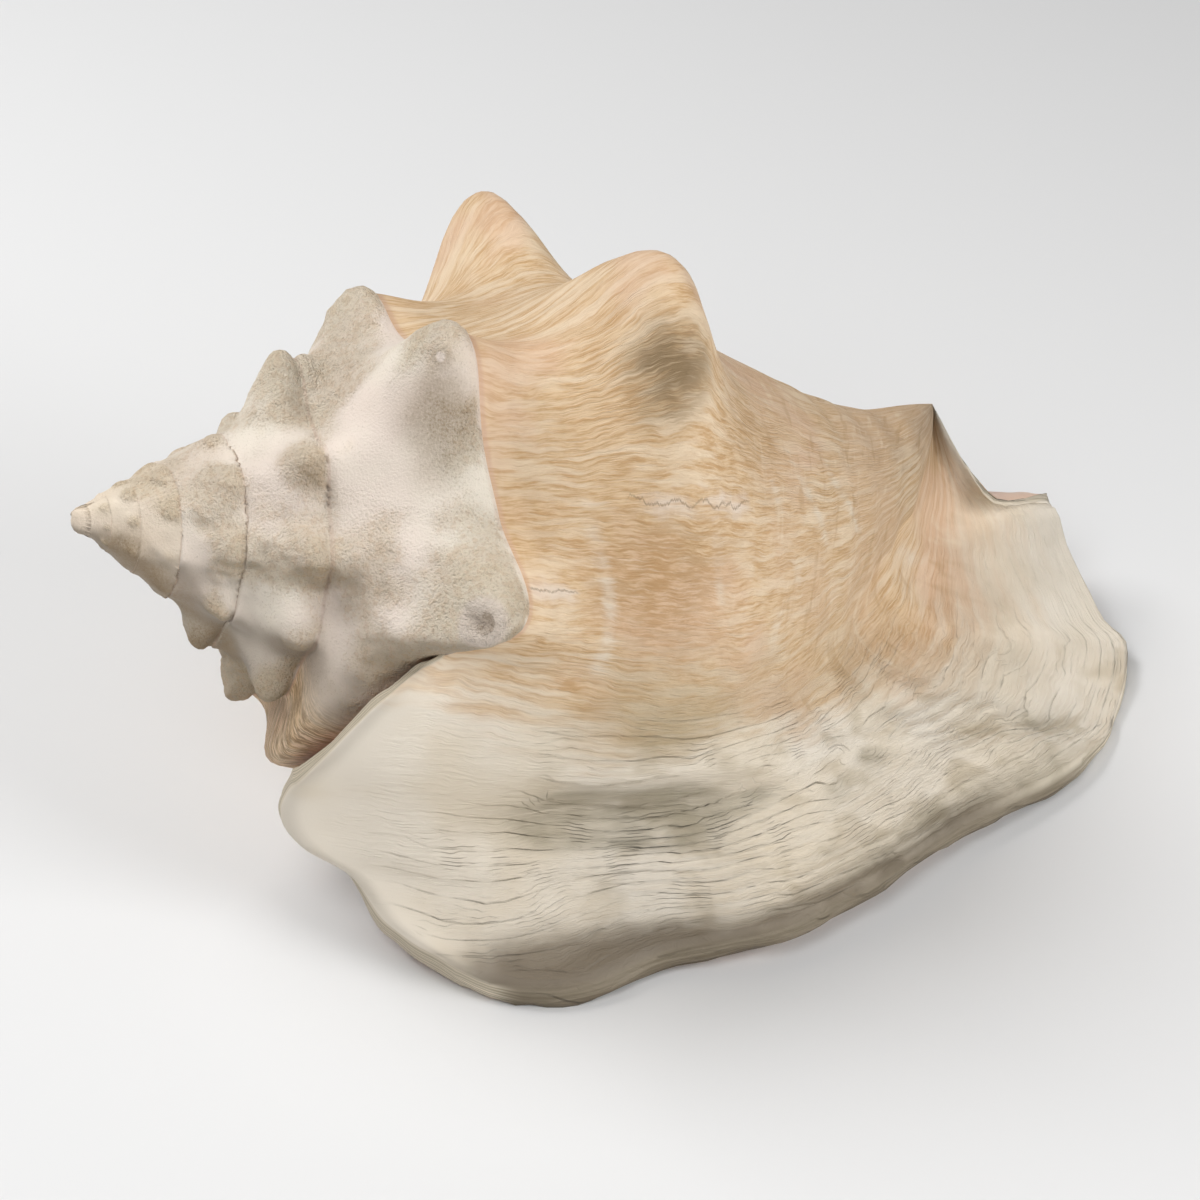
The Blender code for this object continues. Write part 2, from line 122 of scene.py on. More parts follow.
# Pale worn strokes across the growth lines: both ends as growth angle and share, half-width, strength.
STROKES = [
    ((51.0, 0.128), (82.0, 0.154), 0.014, 0.62), ((50.0, 0.314), (66.0, 0.327), 0.012, 0.30),
    ((56.0, 0.50), (64.0, 0.512), 0.012, 0.35), ((70.0, 0.462), (78.0, 0.455), 0.016, 0.35),
    ((88.0, 0.846), (103.0, 0.868), 0.011, 0.4), ((38.0, 0.46), (46.0, 0.47), 0.012, 0.4),
    ((30.0, 0.52), (58.0, 0.60), 0.012, 0.4), ((34.0, 0.62), (60.0, 0.70), 0.013, 0.4)]

# Cracks along the growth lines: growth angle, both shares, and sideways swing in degrees.
CRACKS = [(45.5, 0.11, 0.40, 8.0), (64.5, 0.0, 0.10, 3.0)]

# Places of the old surface darkened by grime and by painted shade, on knob faces and low on the spire:
# middle, full and outer radius (mm), strength.
GRIME_AND_SHADE_SPOTS = [
    ((-41.5, -24.0, 113.5), 1.0, 14.0, 0.75), ((-40.4, -21.5, 119.0), 0.5, 7.0, 0.3),
    ((-44.0, -28.0, 103.5), 0.5, 8.0, 0.45), ((-66.5, -19.0, 100.5), 0.5, 6.5, 0.5),
    ((-66.0, -33.0, 84.0), 0.5, 7.0, 0.25), ((-75.0, -33.0, 66.0), 2.0, 12.0, 0.35),
    ((-104.2, -8.5, 84.0), 0.5, 7.5, 1.0), ((-99.8, -10.5, 77.0), 0.5, 8.5, 1.0),
    ((-94.5, -9.3, 70.0), 1.0, 10.0, 1.0), ((-87.6, -11.0, 59.1), 2.0, 11.0, 0.9),
    ((-90.0, -14.5, 76.0), 0.5, 8.0, 0.4)]

# Darker places of the body, in the same way.
TINTS = [
    ((-7.0, -50.0, 86.0), 3.0, 19.0, 0.6), ((-2.0, -54.0, 76.0), 2.0, 17.0, 0.3),
    ((8.0, -50.0, 88.0), 1.0, 15.0, 0.4), ((22.0, -28.0, 97.0), 2.0, 19.0, 0.35),
    ((-30.0, -40.0, 96.0), 2.0, 16.0, 0.25)]

# Painted shade on the shaded face of a tall knob, in the same way.
DUSKY = [
    ((4.5, -31.0, 120.5), 0.5, 14.0, 1.0), ((3.0, -34.5, 114.5), 0.5, 11.0, 0.55),
    ((8.5, -31.0, 121.5), 0.5, 9.0, 0.5)]

# Places where the lip's root and its lower corner are worn round: middle and radius (mm).
WORN_ROUND = [((-50.0, -49.6, 73.0), 4.0), ((-49.0, -73.0, 2.5), 6.5)]
WEARING_ROUNDS = 10

# Roughness of the chalky outside and of the glossy inside.
OUTSIDE_ROUGHNESS = 0.64
INSIDE_ROUGHNESS = 0.36

# Pale grain stuck in the hole at the tip of a knob (mm).
BALL = (-40.0, -20.5, 124.6)

# Spire tip, winding axis and the middle of the footprint.
APEX = np.array([-113.0, -1.0, 89.0])
AXIS_DROP = math.radians(18.0)
AXIS = np.array([math.cos(AXIS_DROP), 0.0, -math.sin(AXIS_DROP)])
UP = np.array([math.sin(AXIS_DROP), 0.0, math.cos(AXIS_DROP)])
FRONT = np.array([0.0, -1.0, 0.0])
FOOTPRINT_MIDDLE = np.array([6.8, -2.2, 0.0])

# Growth angles of the first line, of the line where the lip leaves the body, and of the cavity's end.
FIRST_ANGLE = -2160.0
ATTACH_ANGLE = 84.0
DEEP_ANGLE = -70.0

# One growth line of the full-size turn: share, radius from the axis, distance from the spire tip.
SEAM_SHARE = 0.30
PROFILE_SHARE = [0.00, 0.10, 0.22, 0.30, 0.42, 0.56, 0.70, 0.84, 0.93, 1.0]
BODY_RADIUS = [46.0, 50.0, 54.5, 55.5, 53.0, 45.0, 33.0, 20.0, 13.5, 8.0]
BODY_ALONG = [78.0, 87.0, 101.0, 110.0, 124.0, 143.0, 165.0, 188.0, 201.0, 209.0]
CORE_RADIUS = [46.0, 49.0, 51.0, 49.0, 40.0, 28.0, 18.0, 11.0, 7.0, 3.0]
CORE_ALONG = [78.0, 87.0, 100.0, 112.0, 128.0, 149.0, 168.0, 185.0, 195.0, 202.0]

# Size of a turn against the full-size turn, as a natural logarithm.
SCALE_TURN = [-9.0, -8.0, -7.0, -6.0, -5.0, -4.0, -3.0, -2.0, -1.0, 0.0, 0.5]
SCALE_LOG = [-2.78, -2.48, -2.18, -1.88, -1.58, -1.28, -0.966, -0.666, -0.336, 0.0, 0.15]

# Seam between one turn and the next: growth angle, distance from the spire tip, radius.
SEAM = np.array([
    (-2160, 2.4, 2.6), (-1800, 6.0, 4.2), (-1440, 11.0, 6.7),
    (-1080, 18.0, 10.6), (-920, 22.0, 12.3), (-720, 29.5, 17.2), (-560, 34.5, 19.0),
    (-420, 45.0, 27.0), (-360, 44.0, 27.5), (-270, 46.5, 28.0), (-200, 48.0, 29.0),
    (-130, 54.0, 36.0), (-60, 62.0, 42.0), (0, 64.0, 45.0), (50, 74.0, 47.0),
    (72, 77.0, 47.0), (84, 66.0, 43.0), (110, 62.0, 43.0), (180, 60.0, 43.0)])

# The canal end of the axis bends to the back and up, and closes at the canal tip.
BEND_START = 100.0
BEND_END = 215.0
BEND = np.array([2.0, 30.0, 20.0])
TIP_BEND = np.array([2.5, 9.0, 6.0])
CANAL_TIP = np.array([95.0, 40.0, 50.0])
CANAL_WAY = np.array([0.886, 0.464, 0.0])
CANAL_DEPTH = 30.0

# The underside of the last turn swells and leans towards the spire.
UNDERSIDE_ANGLE = -208.0
UNDERSIDE_SWELL = 10.0
UNDERSIDE_LEAN = 13.0

# Knobs on the shoulder of the last turns: growth angle, height, half width along the shoulder.
KNOBS = [
    (11, 26, 20), (-58, 39, 15.5), (-104, 22, 13), (-150, 40, 18), (-196, 14, 12),
    (-240, 5, 12), (-288, 22, 10), (-345, 23, 11), (-397, 15, 11), (-450, 13, 11),
    (-492, 16, 11), (-544, 19, 11), (-586, 14, 9), (-622, 12, 9), (-655, 13, 8),
    (-692, 11, 8), (-742, 24, 12), (-795, 16, 10), (-838, 12, 9.5), (-881, 15, 9.5),
    (-921, 20, 10)]
OLD_KNOB_SPACING = 43
OLD_KNOB_COUNT = 28
OLD_KNOB_HEIGHT = 12
OLD_KNOB_WIDTH = 9.5
KNOBS += [(-967 - OLD_KNOB_SPACING * k, OLD_KNOB_HEIGHT, OLD_KNOB_WIDTH) for k in range(OLD_KNOB_COUNT)]
SHOULDER_RADIUS = 55.0
KNOB_HALF_DEPTH = 13.0

# Foot of the lip's rim from the rear corner round to the canal tip, by share of the growth line.
LIP_SHARE = [0.0, 0.08, 0.16, 0.27, 0.36, 0.49, 0.66, 0.72, 0.78, 0.82, 0.865, 0.90, 0.94, 0.965, 1.0]
LIP = [
    (-48, -75, -0.5), (-30, -80.5, -0.5), (-11.5, -77, 0.5), (13.5, -79.5, 3), (34, -73.5, 3),
    (63, -59.5, 2), (99, -44, -0.5), (113, -31, 0), (128, -7, 5), (125, 2, 8),
    (124, 20, 16), (124, 31, 21), (101, 16, 36), (95.5, 20, 45), (95, 40, 50)]

# Direction in which the lip flares as it reaches its rim.
FLARE_SHARE = [0.0, 0.5, 0.66, 0.74, 0.82, 0.90, 0.94, 1.0]
FLARE = [
    (-0.1, -1.0, -0.35), (0.1, -1.0, -0.35), (0.5, -0.8, -0.3), (0.7, -0.4, -0.2),
    (0.8, 0.1, -0.2), (0.8, 0.1, -0.3), (0.5, -0.7, -0.5), (0.4, -0.7, -0.5)]

# Rear margin of the lip, from where it leaves the seam (reach 0) to the rear corner (reach 1).
MARGIN_REACH = [0.0, 0.14, 0.30, 0.46, 0.54, 0.62, 0.72, 0.86, 1.0]
MARGIN = [
    (-61, -46, 65.5), (-72, -44, 52), (-80.5, -38, 36), (-81.5, -37, 29),
    (-78, -39.5, 23), (-69.5, -44, 17), (-63, -56.5, 11), (-49.5, -72.5, 7)]

# Thickness of the rim, of the body's wall and of the flared lip.
RIM_HEIGHT = 7.0
WALL = 4.5
LIP_WALL = 8.0

# How far the rim's foot is tucked in under the lip (mm), and the bulge of the lip's side for its height.
RIM_TUCK = 3.5
SIDE_BULGE = 0.22

# Distance over which a line starts to give way before it would touch the older turn.
GIVE = 4.0

# Camera: where it stands and looks (millimetres, before the shift to the footprint's middle), and its lens.
CAMERA_PLACE = (-183.33, -564.24, 473.04)
CAMERA_TARGET = (0.0, 0.0, 42.0)
CAMERA_LENS = 100.0
SENSOR_WIDTH = 36.0

# Diameter of the soft lights and the height that they aim at (metres).
LIGHT_SIZE = 0.6
LIGHT_AIM = 0.04


def bow_weights(t):
    """Weights of a bow's start, of its way there, of its end and of its way there, for t from 0 to 1."""
    return 2 * t**3 - 3 * t**2 + 1, t**3 - 2 * t**2 + t, 3 * t**2 - 2 * t**3, t**3 - t**2


def smooth_curve(knots, values, at):
    """Smooth curve through the given values, read at the given places."""
    knots = np.asarray(knots, float)
    values = np.asarray(values, float)
    if values.ndim == 1:
        return smooth_curve(knots, values[:, None], at)[..., 0]
    at = np.clip(np.asarray(at, float), knots[0], knots[-1])
    slope = np.diff(values, axis=0) / np.diff(knots)[:, None]
    tangent = np.vstack([slope[:1], 0.5 * (slope[1:] + slope[:-1]), slope[-1:]])
    cell = np.clip(np.searchsorted(knots, at, side="right") - 1, 0, len(knots) - 2)
    span = knots[cell + 1] - knots[cell]
    first, leave, last, arrive = bow_weights(((at - knots[cell]) / span)[..., None])
    span = span[..., None]
    start = first * values[cell] + leave * span * tangent[cell]
    end = last * values[cell + 1] + arrive * span * tangent[cell + 1]
    return start + end


def ease(low, high, x):
    """0 below low, 1 above high, smooth between."""
    t = np.clip((np.asarray(x, float) - low) / (high - low), 0.0, 1.0)
    return t * t * (3 - 2 * t)


def fade(low, high, x):
    """1 below low, 0 above high, smooth between."""
    return 1 - ease(low, high, x)


def unit(vectors):
    length = np.linalg.norm(vectors, axis=-1)
    return vectors / (length[..., None] + 1e-9)


def growth_shares():
    """Shares of the points on a growth line, closer together towards the canal."""
    ramp = SEAM_SHARE * np.linspace(0, 1, RAMP_ROWS + 1)
    x = np.linspace(0, 1, BASE_ROWS + 1)[1:]
    base = SEAM_SHARE + (1 - SEAM_SHARE) * (1 - (1 - x)**CROWDING)
    return np.concatenate([ramp, base])


def bend_offset(along):
    t = np.maximum(0.0, (along - BEND_START) / (BEND_END - BEND_START))[..., None]
    return t**2 * BEND + t**6 * TIP_BEND


def axis_point(along):
    return APEX + np.asarray(along)[..., None] * AXIS + bend_offset(np.asarray(along))


def outward(angle):
    turn = math.radians(angle)
    return math.cos(turn) * UP + math.sin(turn) * FRONT


def around_axis(points):
    """Distance along the axis, radius and angle of each point."""
    straight = points - APEX
    along = straight @ AXIS
    for _ in range(3):
        straight = points - APEX - bend_offset(along)
        along = straight @ AXIS
    up = straight @ UP
    front = straight @ FRONT
    return along, np.hypot(up, front), np.degrees(np.arctan2(front, up))


def seam_at(angle):
    return smooth_curve(SEAM[:, 0], SEAM[:, 1:], angle)


def line_size(angle, share):
    """Size of a growth line, stretched so that the last turns all reach the canal tip."""
    size = float(np.exp(smooth_curve(SCALE_TURN, SCALE_LOG, angle / 360.0)))
    reaches_tip = ease(-520.0, -440.0, angle)
    return size + (1 - size) * ease(0.35, 1.0, share) * reaches_tip, reaches_tip


def seat_on_seams(angle, share, radius, along):
    """Moves a line onto the seam with the older turn and, where covered, under the newer seam."""
    start = seam_at(angle)
    end = seam_at(min(angle + 360.0, 180.0))
    is_free = ease(ATTACH_ANGLE - 360.0, -150.0, angle)
    part = np.clip(share / SEAM_SHARE, 0.0, 1.0)
    tail = np.clip(1.0 - (share - SEAM_SHARE) / 0.3, 0.0, 1.0)**2
    near = (1 - part)**(1 + is_free)
    far = (1 - is_free) * np.where(share <= SEAM_SHARE, part, tail)
    new_along = along + near * (start[0] - along[0]) + far * (end[0] - along[RAMP_ROWS])
    new_radius = radius + near * (start[1] - radius[0]) + far * (end[1] - radius[RAMP_ROWS])
    return new_radius, new_along


def growth_line(angle, share):
    """Points of one growth line without knobs, with their radius and distance along the axis."""
    size, reaches_tip = line_size(angle, share)
    is_open = ease(-285.0, -130.0, angle)
    profile = np.transpose([CORE_RADIUS, CORE_ALONG, BODY_RADIUS, BODY_ALONG])
    core_radius, core_along, body_radius, body_along = smooth_curve(PROFILE_SHARE, profile, share).T
    radius = size * (core_radius + (body_radius - core_radius) * is_open)
    along = size * (core_along + (body_along - core_along) * is_open)
    radius, along = seat_on_seams(angle, share, radius, along)
    swell = math.exp(-((angle - UNDERSIDE_ANGLE) / 38.0)**2) * np.exp(-((share - 0.12) / 0.08)**2)
    radius = radius + UNDERSIDE_SWELL * swell
    along = along - UNDERSIDE_LEAN * swell
    points = axis_point(along) + radius[:, None] * outward(angle)
    if reaches_tip > 0:
        close = ease(0.90, 1.0, share)[:, None]
        points = points * (1 - close) + CANAL_TIP * close
    return points, radius, along


def knob_height(angle, share, radius, along):
    """How far the knobs push each point of a growth line outward."""
    peak = 0.255 - 0.03 * ease(-300.0, -200.0, angle) + 0.015 * ease(-100.0, -40.0, angle)
    peak_along = np.interp(peak, share, along)
    peak_radius = np.interp(peak, share, radius)
    size = peak_radius / SHOULDER_RADIUS
    across = np.hypot(along - peak_along, radius - peak_radius) / (KNOB_HALF_DEPTH * size)
    height = np.zeros(len(share))
    for centre, knob, half_width in KNOBS:
        if abs(centre - angle) > 60:
            continue
        beside = math.radians(angle - centre) * peak_radius / (half_width * size)
        away = np.sqrt(beside**2 + across**2 + 0.06) - math.sqrt(0.06)
        height += knob * size * np.exp(-1.15 * away**1.5)
    end = 0.40 + 0.2 * ease(-290.0, -230.0, angle)
    return height * fade(end - 0.08, end, share)


def growth_angles():
    step = 360.0 / TURN_COLUMNS
    count = int(round((ATTACH_ANGLE - FIRST_ANGLE) / step))
    return ATTACH_ANGLE - step * np.arange(count, -1, -1)


def whorls():
    """Every growth line up to the lip, without knobs and with knobs."""
    plain = []
    knobbed = []
    share = growth_shares()
    seat = ((1 - np.clip(share / 0.25, 0, 1))**2)[:, None]
    for i, angle in enumerate(growth_angles()):
        line, radius, along = growth_line(angle, share)
        lean = 0.2 - float(0.15 * ease(-440.0, -410.0, angle) + 0.05 * ease(-300.0, -100.0, angle))
        push = outward(angle) * math.cos(lean) - AXIS * math.sin(lean)
        bumps = line + knob_height(angle, share, radius, along)[:, None] * push
        if i >= TURN_COLUMNS:
            bumps = bumps + (knobbed[i - TURN_COLUMNS][RAMP_ROWS] - bumps[0]) * seat
            line = line + (plain[i - TURN_COLUMNS][RAMP_ROWS] - line[0]) * seat
        plain.append(line)
        knobbed.append(bumps)
    return np.array(plain), np.array(knobbed)


def older_radius(angles, lines):
    """Reader of the older turn's radius under a growth angle, at a distance along the axis."""
    step = angles[1] - angles[0]
    read = [around_axis(line) for line in lines]

    def radius_at(angle, along):
        x = np.clip((angle - 360.0 - angles[0]) / step, 0, len(angles) - 2)
        i = int(x)
        total = 0.0
        for column, weight in ((i, 1 - x + i), (i + 1, x - i)):
            order = np.argsort(read[column][0])
            place = read[column][0][order]
            radius = read[column][1][order]
            total += weight * np.interp(along, place, radius, left=0.0, right=0.0)
        return total

    return radius_at


def lift_clear(line, need, radius_at):
    """Keeps a line at least the needed distance outside the older turn."""
    along, radius, angle = around_axis(line)
    angle = np.where(angle < -75.0, angle + 360.0, angle)
    lifted = line.copy()
    for j in range(len(line)):
        if angle[j] > 260.0 or need[j] <= 0:
            continue
        short = radius_at(angle[j], along[j]) + need[j] - radius[j]
        if short > -GIVE:
            push = (short + GIVE)**2 / (4 * GIVE) if short < GIVE else short
            lifted[j] += push * outward(angle[j])
    return lifted


def rim_share(share):
    """The rim's thickness falls off towards the canal tip."""
    return 1 - 0.65 * ease(0.68, 0.86, share) - 0.35 * ease(0.9, 1.0, share)


def front_share(share):
    """1 along the front of the lip, where the rim stands on the floor, and 0 at the canal end."""
    return fade(0.62, 0.80, share)


def wing(lines, radius_at):
    """Lines from the last growth line of the body out to the lip's rim."""
    share = growth_shares()
    start = lines[-1]
    leave = unit(lines[-1] - lines[-3])
    rim = smooth_curve(LIP_SHARE, LIP, share)
    rim[:, 2] += RIM_HEIGHT * rim_share(share) * front_share(share)
    rim[:, 1] += 1.5 * front_share(share)
    gap = np.linalg.norm(rim - start, axis=1)[:, None]
    land = smooth_curve(FLARE_SHARE, FLARE, share) * 0.8
    reach = np.linspace(0, 1, WING_COLUMNS + 1)[1:]
    margin = smooth_curve(MARGIN_REACH, [start[0]] + MARGIN, reach)
    to_margin = ((1 - np.clip(share / 0.40, 0, 1))**1.5)[:, None]
    out = []
    for k, t in enumerate(reach):
        first, away, last, arrive = bow_weights(t)
        line = first * start + away * leave * gap + last * rim + arrive * land * gap
        line = line + (margin[k] - line[0]) * to_margin
        need = 1.0 + 9.5 * ease(0.0, 0.15, t) * (0.6 + 0.4 * ease(0.0, 0.2, share))
        out.append(lift_clear(line, need * fade(0.55, 0.8, share), radius_at))
    return np.array(out)


def surface_normals(lines):
    normal = unit(np.cross(np.gradient(lines, axis=0), np.gradient(lines, axis=1)))
    angle = around_axis(lines.reshape(-1, 3))[2]
    out = np.array([outward(x) for x in angle]).reshape(lines.shape)
    if (normal * out).sum(axis=2)[:6].mean() < 0:
        return -normal
    return normal


def in_frame(places):
    """Places of the shell in metres, from the middle of its footprint."""
    return (np.asarray(places) - FOOTPRINT_MIDDLE) * MM


def lattice_noise(places, size, seed):
    """Smooth noise from -1 to 1 with features of the given size."""
    table = np.random.default_rng(seed).uniform(-1, 1, (32, 32, 32))
    place = places / size + 512.0
    cell = np.floor(place).astype(int)
    part = place - cell
    part = part * part * (3 - 2 * part)
    total = np.zeros(len(places))
    for corner in range(8):
        step = np.array([corner & 1, (corner >> 1) & 1, corner >> 2])
        weight = np.prod(np.where(step, part, 1 - part), axis=1)
        x, y, z = ((cell + step) % 32).T
        total += weight * table[x, y, z]
    return total


def layered_noise(places, *layers):
    """Noises added up, each given as strength, size and seed."""
    return sum(strength * lattice_noise(places, size, seed) for strength, size, seed in layers)


def curve_through(start, middle, end, count):
    """Points of a bow from start to end that passes through the middle."""
    control = 2 * middle - 0.5 * (start + end)
    rows = []
    for w in np.linspace(0, 1, count + 1):
        rows.append((1 - w)**2 * start + 2 * w * (1 - w) * control + w**2 * end)
    return np.array(rows)


class Sheet:
    """A net of points on the surface, with the growth angle, the share and the inside mark of each."""

    def __init__(self, points, ages, shares, inside):
        self.points = np.array(points)
        shape = self.points.shape[:2]
        self.ages = np.broadcast_to(np.asarray(ages, float), shape)
        self.shares = np.broadcast_to(np.asarray(shares, float), shape)
        self.inside = np.broadcast_to(np.asarray(inside, float), shape)


class ShellSheets:
    """All the sheets that close up to the shell's surface."""

    def __init__(self):
        self.share = growth_shares()
        self.angles = growth_angles()
        self.last = len(self.angles) - 1
        self.back = self.last - TURN_COLUMNS
        self.deep = int(round((DEEP_ANGLE - self.angles[0]) / (self.angles[1] - self.angles[0])))
        self.plain, self.knobbed = whorls()
        self.plain[self.back - TURN_COLUMNS:, -1] = CANAL_TIP
        self.knobbed[self.back:, -1] = CANAL_TIP
        for i in range(TURN_COLUMNS, self.last + 1):
            self.knobbed[i][0] = self.knobbed[i - TURN_COLUMNS][RAMP_ROWS]
        self.wing = wing(self.knobbed, older_radius(self.angles, self.knobbed))
        self.wing[:, -1] = CANAL_TIP
        self.flare = np.concatenate([self.knobbed[-1:], self.wing])
        wing_ages = ATTACH_ANGLE + WING_GROWTH * np.arange(1, WING_COLUMNS + 1) / WING_COLUMNS
        self.ages = np.concatenate([self.angles, wing_ages])[:, None]
        self.inner = self.inner_face()
        self.core = self.inner_turn()

    def wall_thickness(self, reach):
        """Thickness along a growth line, thicker in the flared lip and thin at the canal."""
        taper = (1 - 0.72 * ease(0.45, 0.9, self.share)) * fade(0.9, 1.0, self.share)
        return (WALL + (LIP_WALL - WALL) * ease(0.2, 0.9, reach)) * taper

    def narrow_to_core(self, line, outer, column, wall):
        """Brings the inner face of the wall onto the columella where the canal gets narrow."""
        core = self.plain[column - TURN_COLUMNS]
        gap = np.linalg.norm(outer - core, axis=1) + 1e-6
        part = np.minimum(wall / gap, 0.45)[:, None]
        close = ease(0.5, 0.72, self.share)[:, None]
        return line * (1 - close) + (outer + (core - outer) * part) * close

    def inner_face(self):
        """The inner face of the outer wall and the underside of the flared lip."""
        near_root = ease(54.0, 80.0, self.angles[self.deep - 1:])[:, None, None]
        latest = self.plain[self.deep - 1:] * (1 - near_root) + self.knobbed[self.deep - 1:] * near_root
        outer = np.concatenate([latest, self.wing])
        normal = surface_normals(outer)
        count = self.last - self.deep + 1
        under_plain = older_radius(self.angles, self.plain)
        under_knobs = older_radius(self.angles, self.knobbed)
        room = (1.0 + 2.0 * ease(0.0, 0.3, self.share)) * fade(0.6, 0.85, self.share)
        self.depth = CANAL_DEPTH * ease(0.0, 1.0, 1 - np.arange(count) / (count - 1))
        self.to_tip = ease(0.86, 1.0, self.share)[:, None]
        lines = []
        for c in range(1, len(outer)):
            reach = (c - count) / WING_COLUMNS
            wall = self.wall_thickness(reach)
            line = outer[c] - normal[c] * wall[:, None]
            if reach <= 0:
                line[0] = 0.35 * line[0] + 0.65 * line[1]
                line = self.narrow_to_core(line, outer[c], self.deep - 1 + c, wall)
            line = lift_clear(line, room, under_plain if reach <= 0 else under_knobs)
            if reach > -0.15:
                over = np.sum((line - outer[c]) * normal[c], axis=1) + 0.6
                line = line - normal[c] * (np.maximum(over, 0) * (self.share < 0.28))[:, None]
            if reach <= 0:
                line = line - self.to_tip * self.depth[c - 1] * CANAL_WAY
                line[-1] = CANAL_TIP - self.depth[c - 1] * CANAL_WAY
            else:
                line[-1] = CANAL_TIP
            lines.append(line)
        self.make_rim_foot(lines, normal[-1])
        return np.array(lines)

    def make_rim_foot(self, lines, rim_normal):
        """The edge where the lip's rim meets its underside, and the bow of the rim between."""
        thick = rim_share(self.share)[:, None]
        front = front_share(self.share)[:, None]
        low = smooth_curve(LIP_SHARE, LIP, self.share)
        foot = low * front + (self.wing[-1] - rim_normal * RIM_HEIGHT * thick) * (1 - front)
        run = self.wing[-1] - self.wing[-1 - WING_COLUMNS // 8]
        run[:, 2] *= 0.3
        run = unit(run) * thick
        lines[-1] = foot - run * RIM_TUCK * front
        lines[-1][-1] = CANAL_TIP
        self.rim_middle = foot + (self.wing[-1] - foot) * 0.35 + run * 0.6
        self.rim_middle[-1] = CANAL_TIP

    def inner_turn(self):
        """The older turn seen inside the opening, running into the columella."""
        lines = []
        for c, i in enumerate(range(self.deep - TURN_COLUMNS, self.back)):
            line = self.plain[i] - self.to_tip * self.depth[c] * CANAL_WAY
            line[-1] = CANAL_TIP - self.depth[c] * CANAL_WAY
            lines.append(line[RAMP_ROWS + 1:])
        lines.append(self.knobbed[self.back][RAMP_ROWS + 1:])
        return np.array(lines)

    def outside(self):
        """The spire and the body, then the top of the flared lip."""
        ramp = slice(0, RAMP_ROWS + 1)
        early = slice(0, self.back + 1)
        late = slice(self.back, self.last + 1)
        yield Sheet(self.knobbed[early, ramp], self.ages[early], self.share[ramp], 0)
        yield Sheet(self.knobbed[late], self.ages[late], self.share, 0)
        yield Sheet(self.flare, self.ages[self.last:], self.share, 0)

    def spire_tip(self):
        """Rings that close round over the oldest turn."""
        apex = APEX - 0.3 * AXIS
        around = np.concatenate([self.knobbed[0][RAMP_ROWS::-1], self.knobbed[1:TURN_COLUMNS + 1, 0]])
        centre = around.mean(axis=0)
        rings = []
        for turn in np.linspace(0, math.pi / 2, 7):
            rings.append(centre + (around - centre) * math.cos(turn) + (apex - centre) * math.sin(turn))
        yield Sheet(rings, self.angles[0], 0.15, 0)

    def rim(self):
        """The bow of the lip's rim, and the side of the wall where the lip leaves the seam."""
        across = np.linspace(0, 1, RIM_LINES + 1)[:, None]
        bow = curve_through(self.wing[-1], self.rim_middle, self.inner[-1], RIM_LINES)
        yield Sheet(bow, ATTACH_ANGLE + WING_GROWTH + RIM_GROWTH * across, self.share, 0.5 * across)
        side = []
        for k, (line, lower) in enumerate(zip(self.flare, self.inner[self.last - self.deep:, 0])):
            upper = line[0]
            bulge = SIDE_BULGE * float(ease(0, 0.33 * WING_COLUMNS, k)) * np.linalg.norm(upper - lower)
            middle = 0.5 * (upper + lower) + unit(upper - line[1]) * bulge
            if k == WING_COLUMNS:
                middle = self.rim_middle[0]
            side.append(curve_through(upper, middle, lower, RIM_LINES))
        yield Sheet(side, self.ages[self.last:], 0.0, 0.5 * across[:, 0])

    def cavity(self):
        """The hollow under the lip: its outer wall, the turn inside it, their corner and the far end."""
        core_ages = self.ages[self.deep - TURN_COLUMNS:self.back + 1]
        corner = np.stack([self.inner[:len(self.core), 0], self.core[:, 0]], axis=1)
        core_end = np.concatenate([np.repeat(self.core[0][:1], RAMP_ROWS + 1, axis=0), self.core[0]])
        yield Sheet(self.inner, self.ages[self.deep:], self.share, 1)
        yield Sheet(self.core, core_ages, self.share[RAMP_ROWS + 1:], 1)
        yield Sheet(corner, core_ages, 0.0, 1)
        yield Sheet([self.inner[0], core_end], self.angles[self.deep], self.share, 1)

    def __iter__(self):
        yield from self.outside()
        yield from self.spire_tip()
        yield from self.rim()
        yield from self.cavity()


def add_sheet(net, sheet, marks):
    """Adds a grid to the net and bends it to the sheet."""
    columns, rows = sheet.points.shape[:2]
    made = bmesh.ops.create_grid(net, x_segments=columns - 1, y_segments=rows - 1, size=1.0)
    place = {}
    for corner in made["verts"]:
        i = int(round((corner.co.x + 1) / 2 * (columns - 1)))
        j = int(round((corner.co.y + 1) / 2 * (rows - 1)))
        place[corner] = (i, j)
    faces = {face for corner in made["verts"] for face in corner.link_faces}
    for face in faces:
        for loop in face.loops:
            i, j = place[loop.vert]
            loop[marks["growth"]].uv = (sheet.ages[i, j] / 360, sheet.shares[i, j])
            loop[marks["zone"]].uv = (sheet.inside[i, j], 0.0)
    for corner, (i, j) in place.items():
        corner.co = in_frame(sheet.points[i, j])
        for name, values in (("age", sheet.ages), ("share", sheet.shares), ("inside", sheet.inside)):
            corner[marks[name]] = values[i, j]


def closed_net(sheets):
    """One closed mesh from all the sheets, with its faces pointing out."""
    net = bmesh.new()
    marks = {name: net.loops.layers.uv.new(name) for name in ("growth", "zone", "relief", "dips_and_pits")}
    marks.update({name: net.verts.layers.float.new(name) for name in ("age", "share", "inside")})
    for sheet in sheets:
        add_sheet(net, sheet, marks)
    bmesh.ops.remove_doubles(net, verts=net.verts, dist=1e-6)
    gaps = [edge for edge in net.edges if edge.is_boundary]
    if gaps:
        bmesh.ops.holes_fill(net, edges=gaps, sides=0)
    bmesh.ops.recalc_face_normals(net, faces=net.faces)
    if net.calc_volume(signed=True) < 0:
        bmesh.ops.reverse_faces(net, faces=net.faces)
    return net


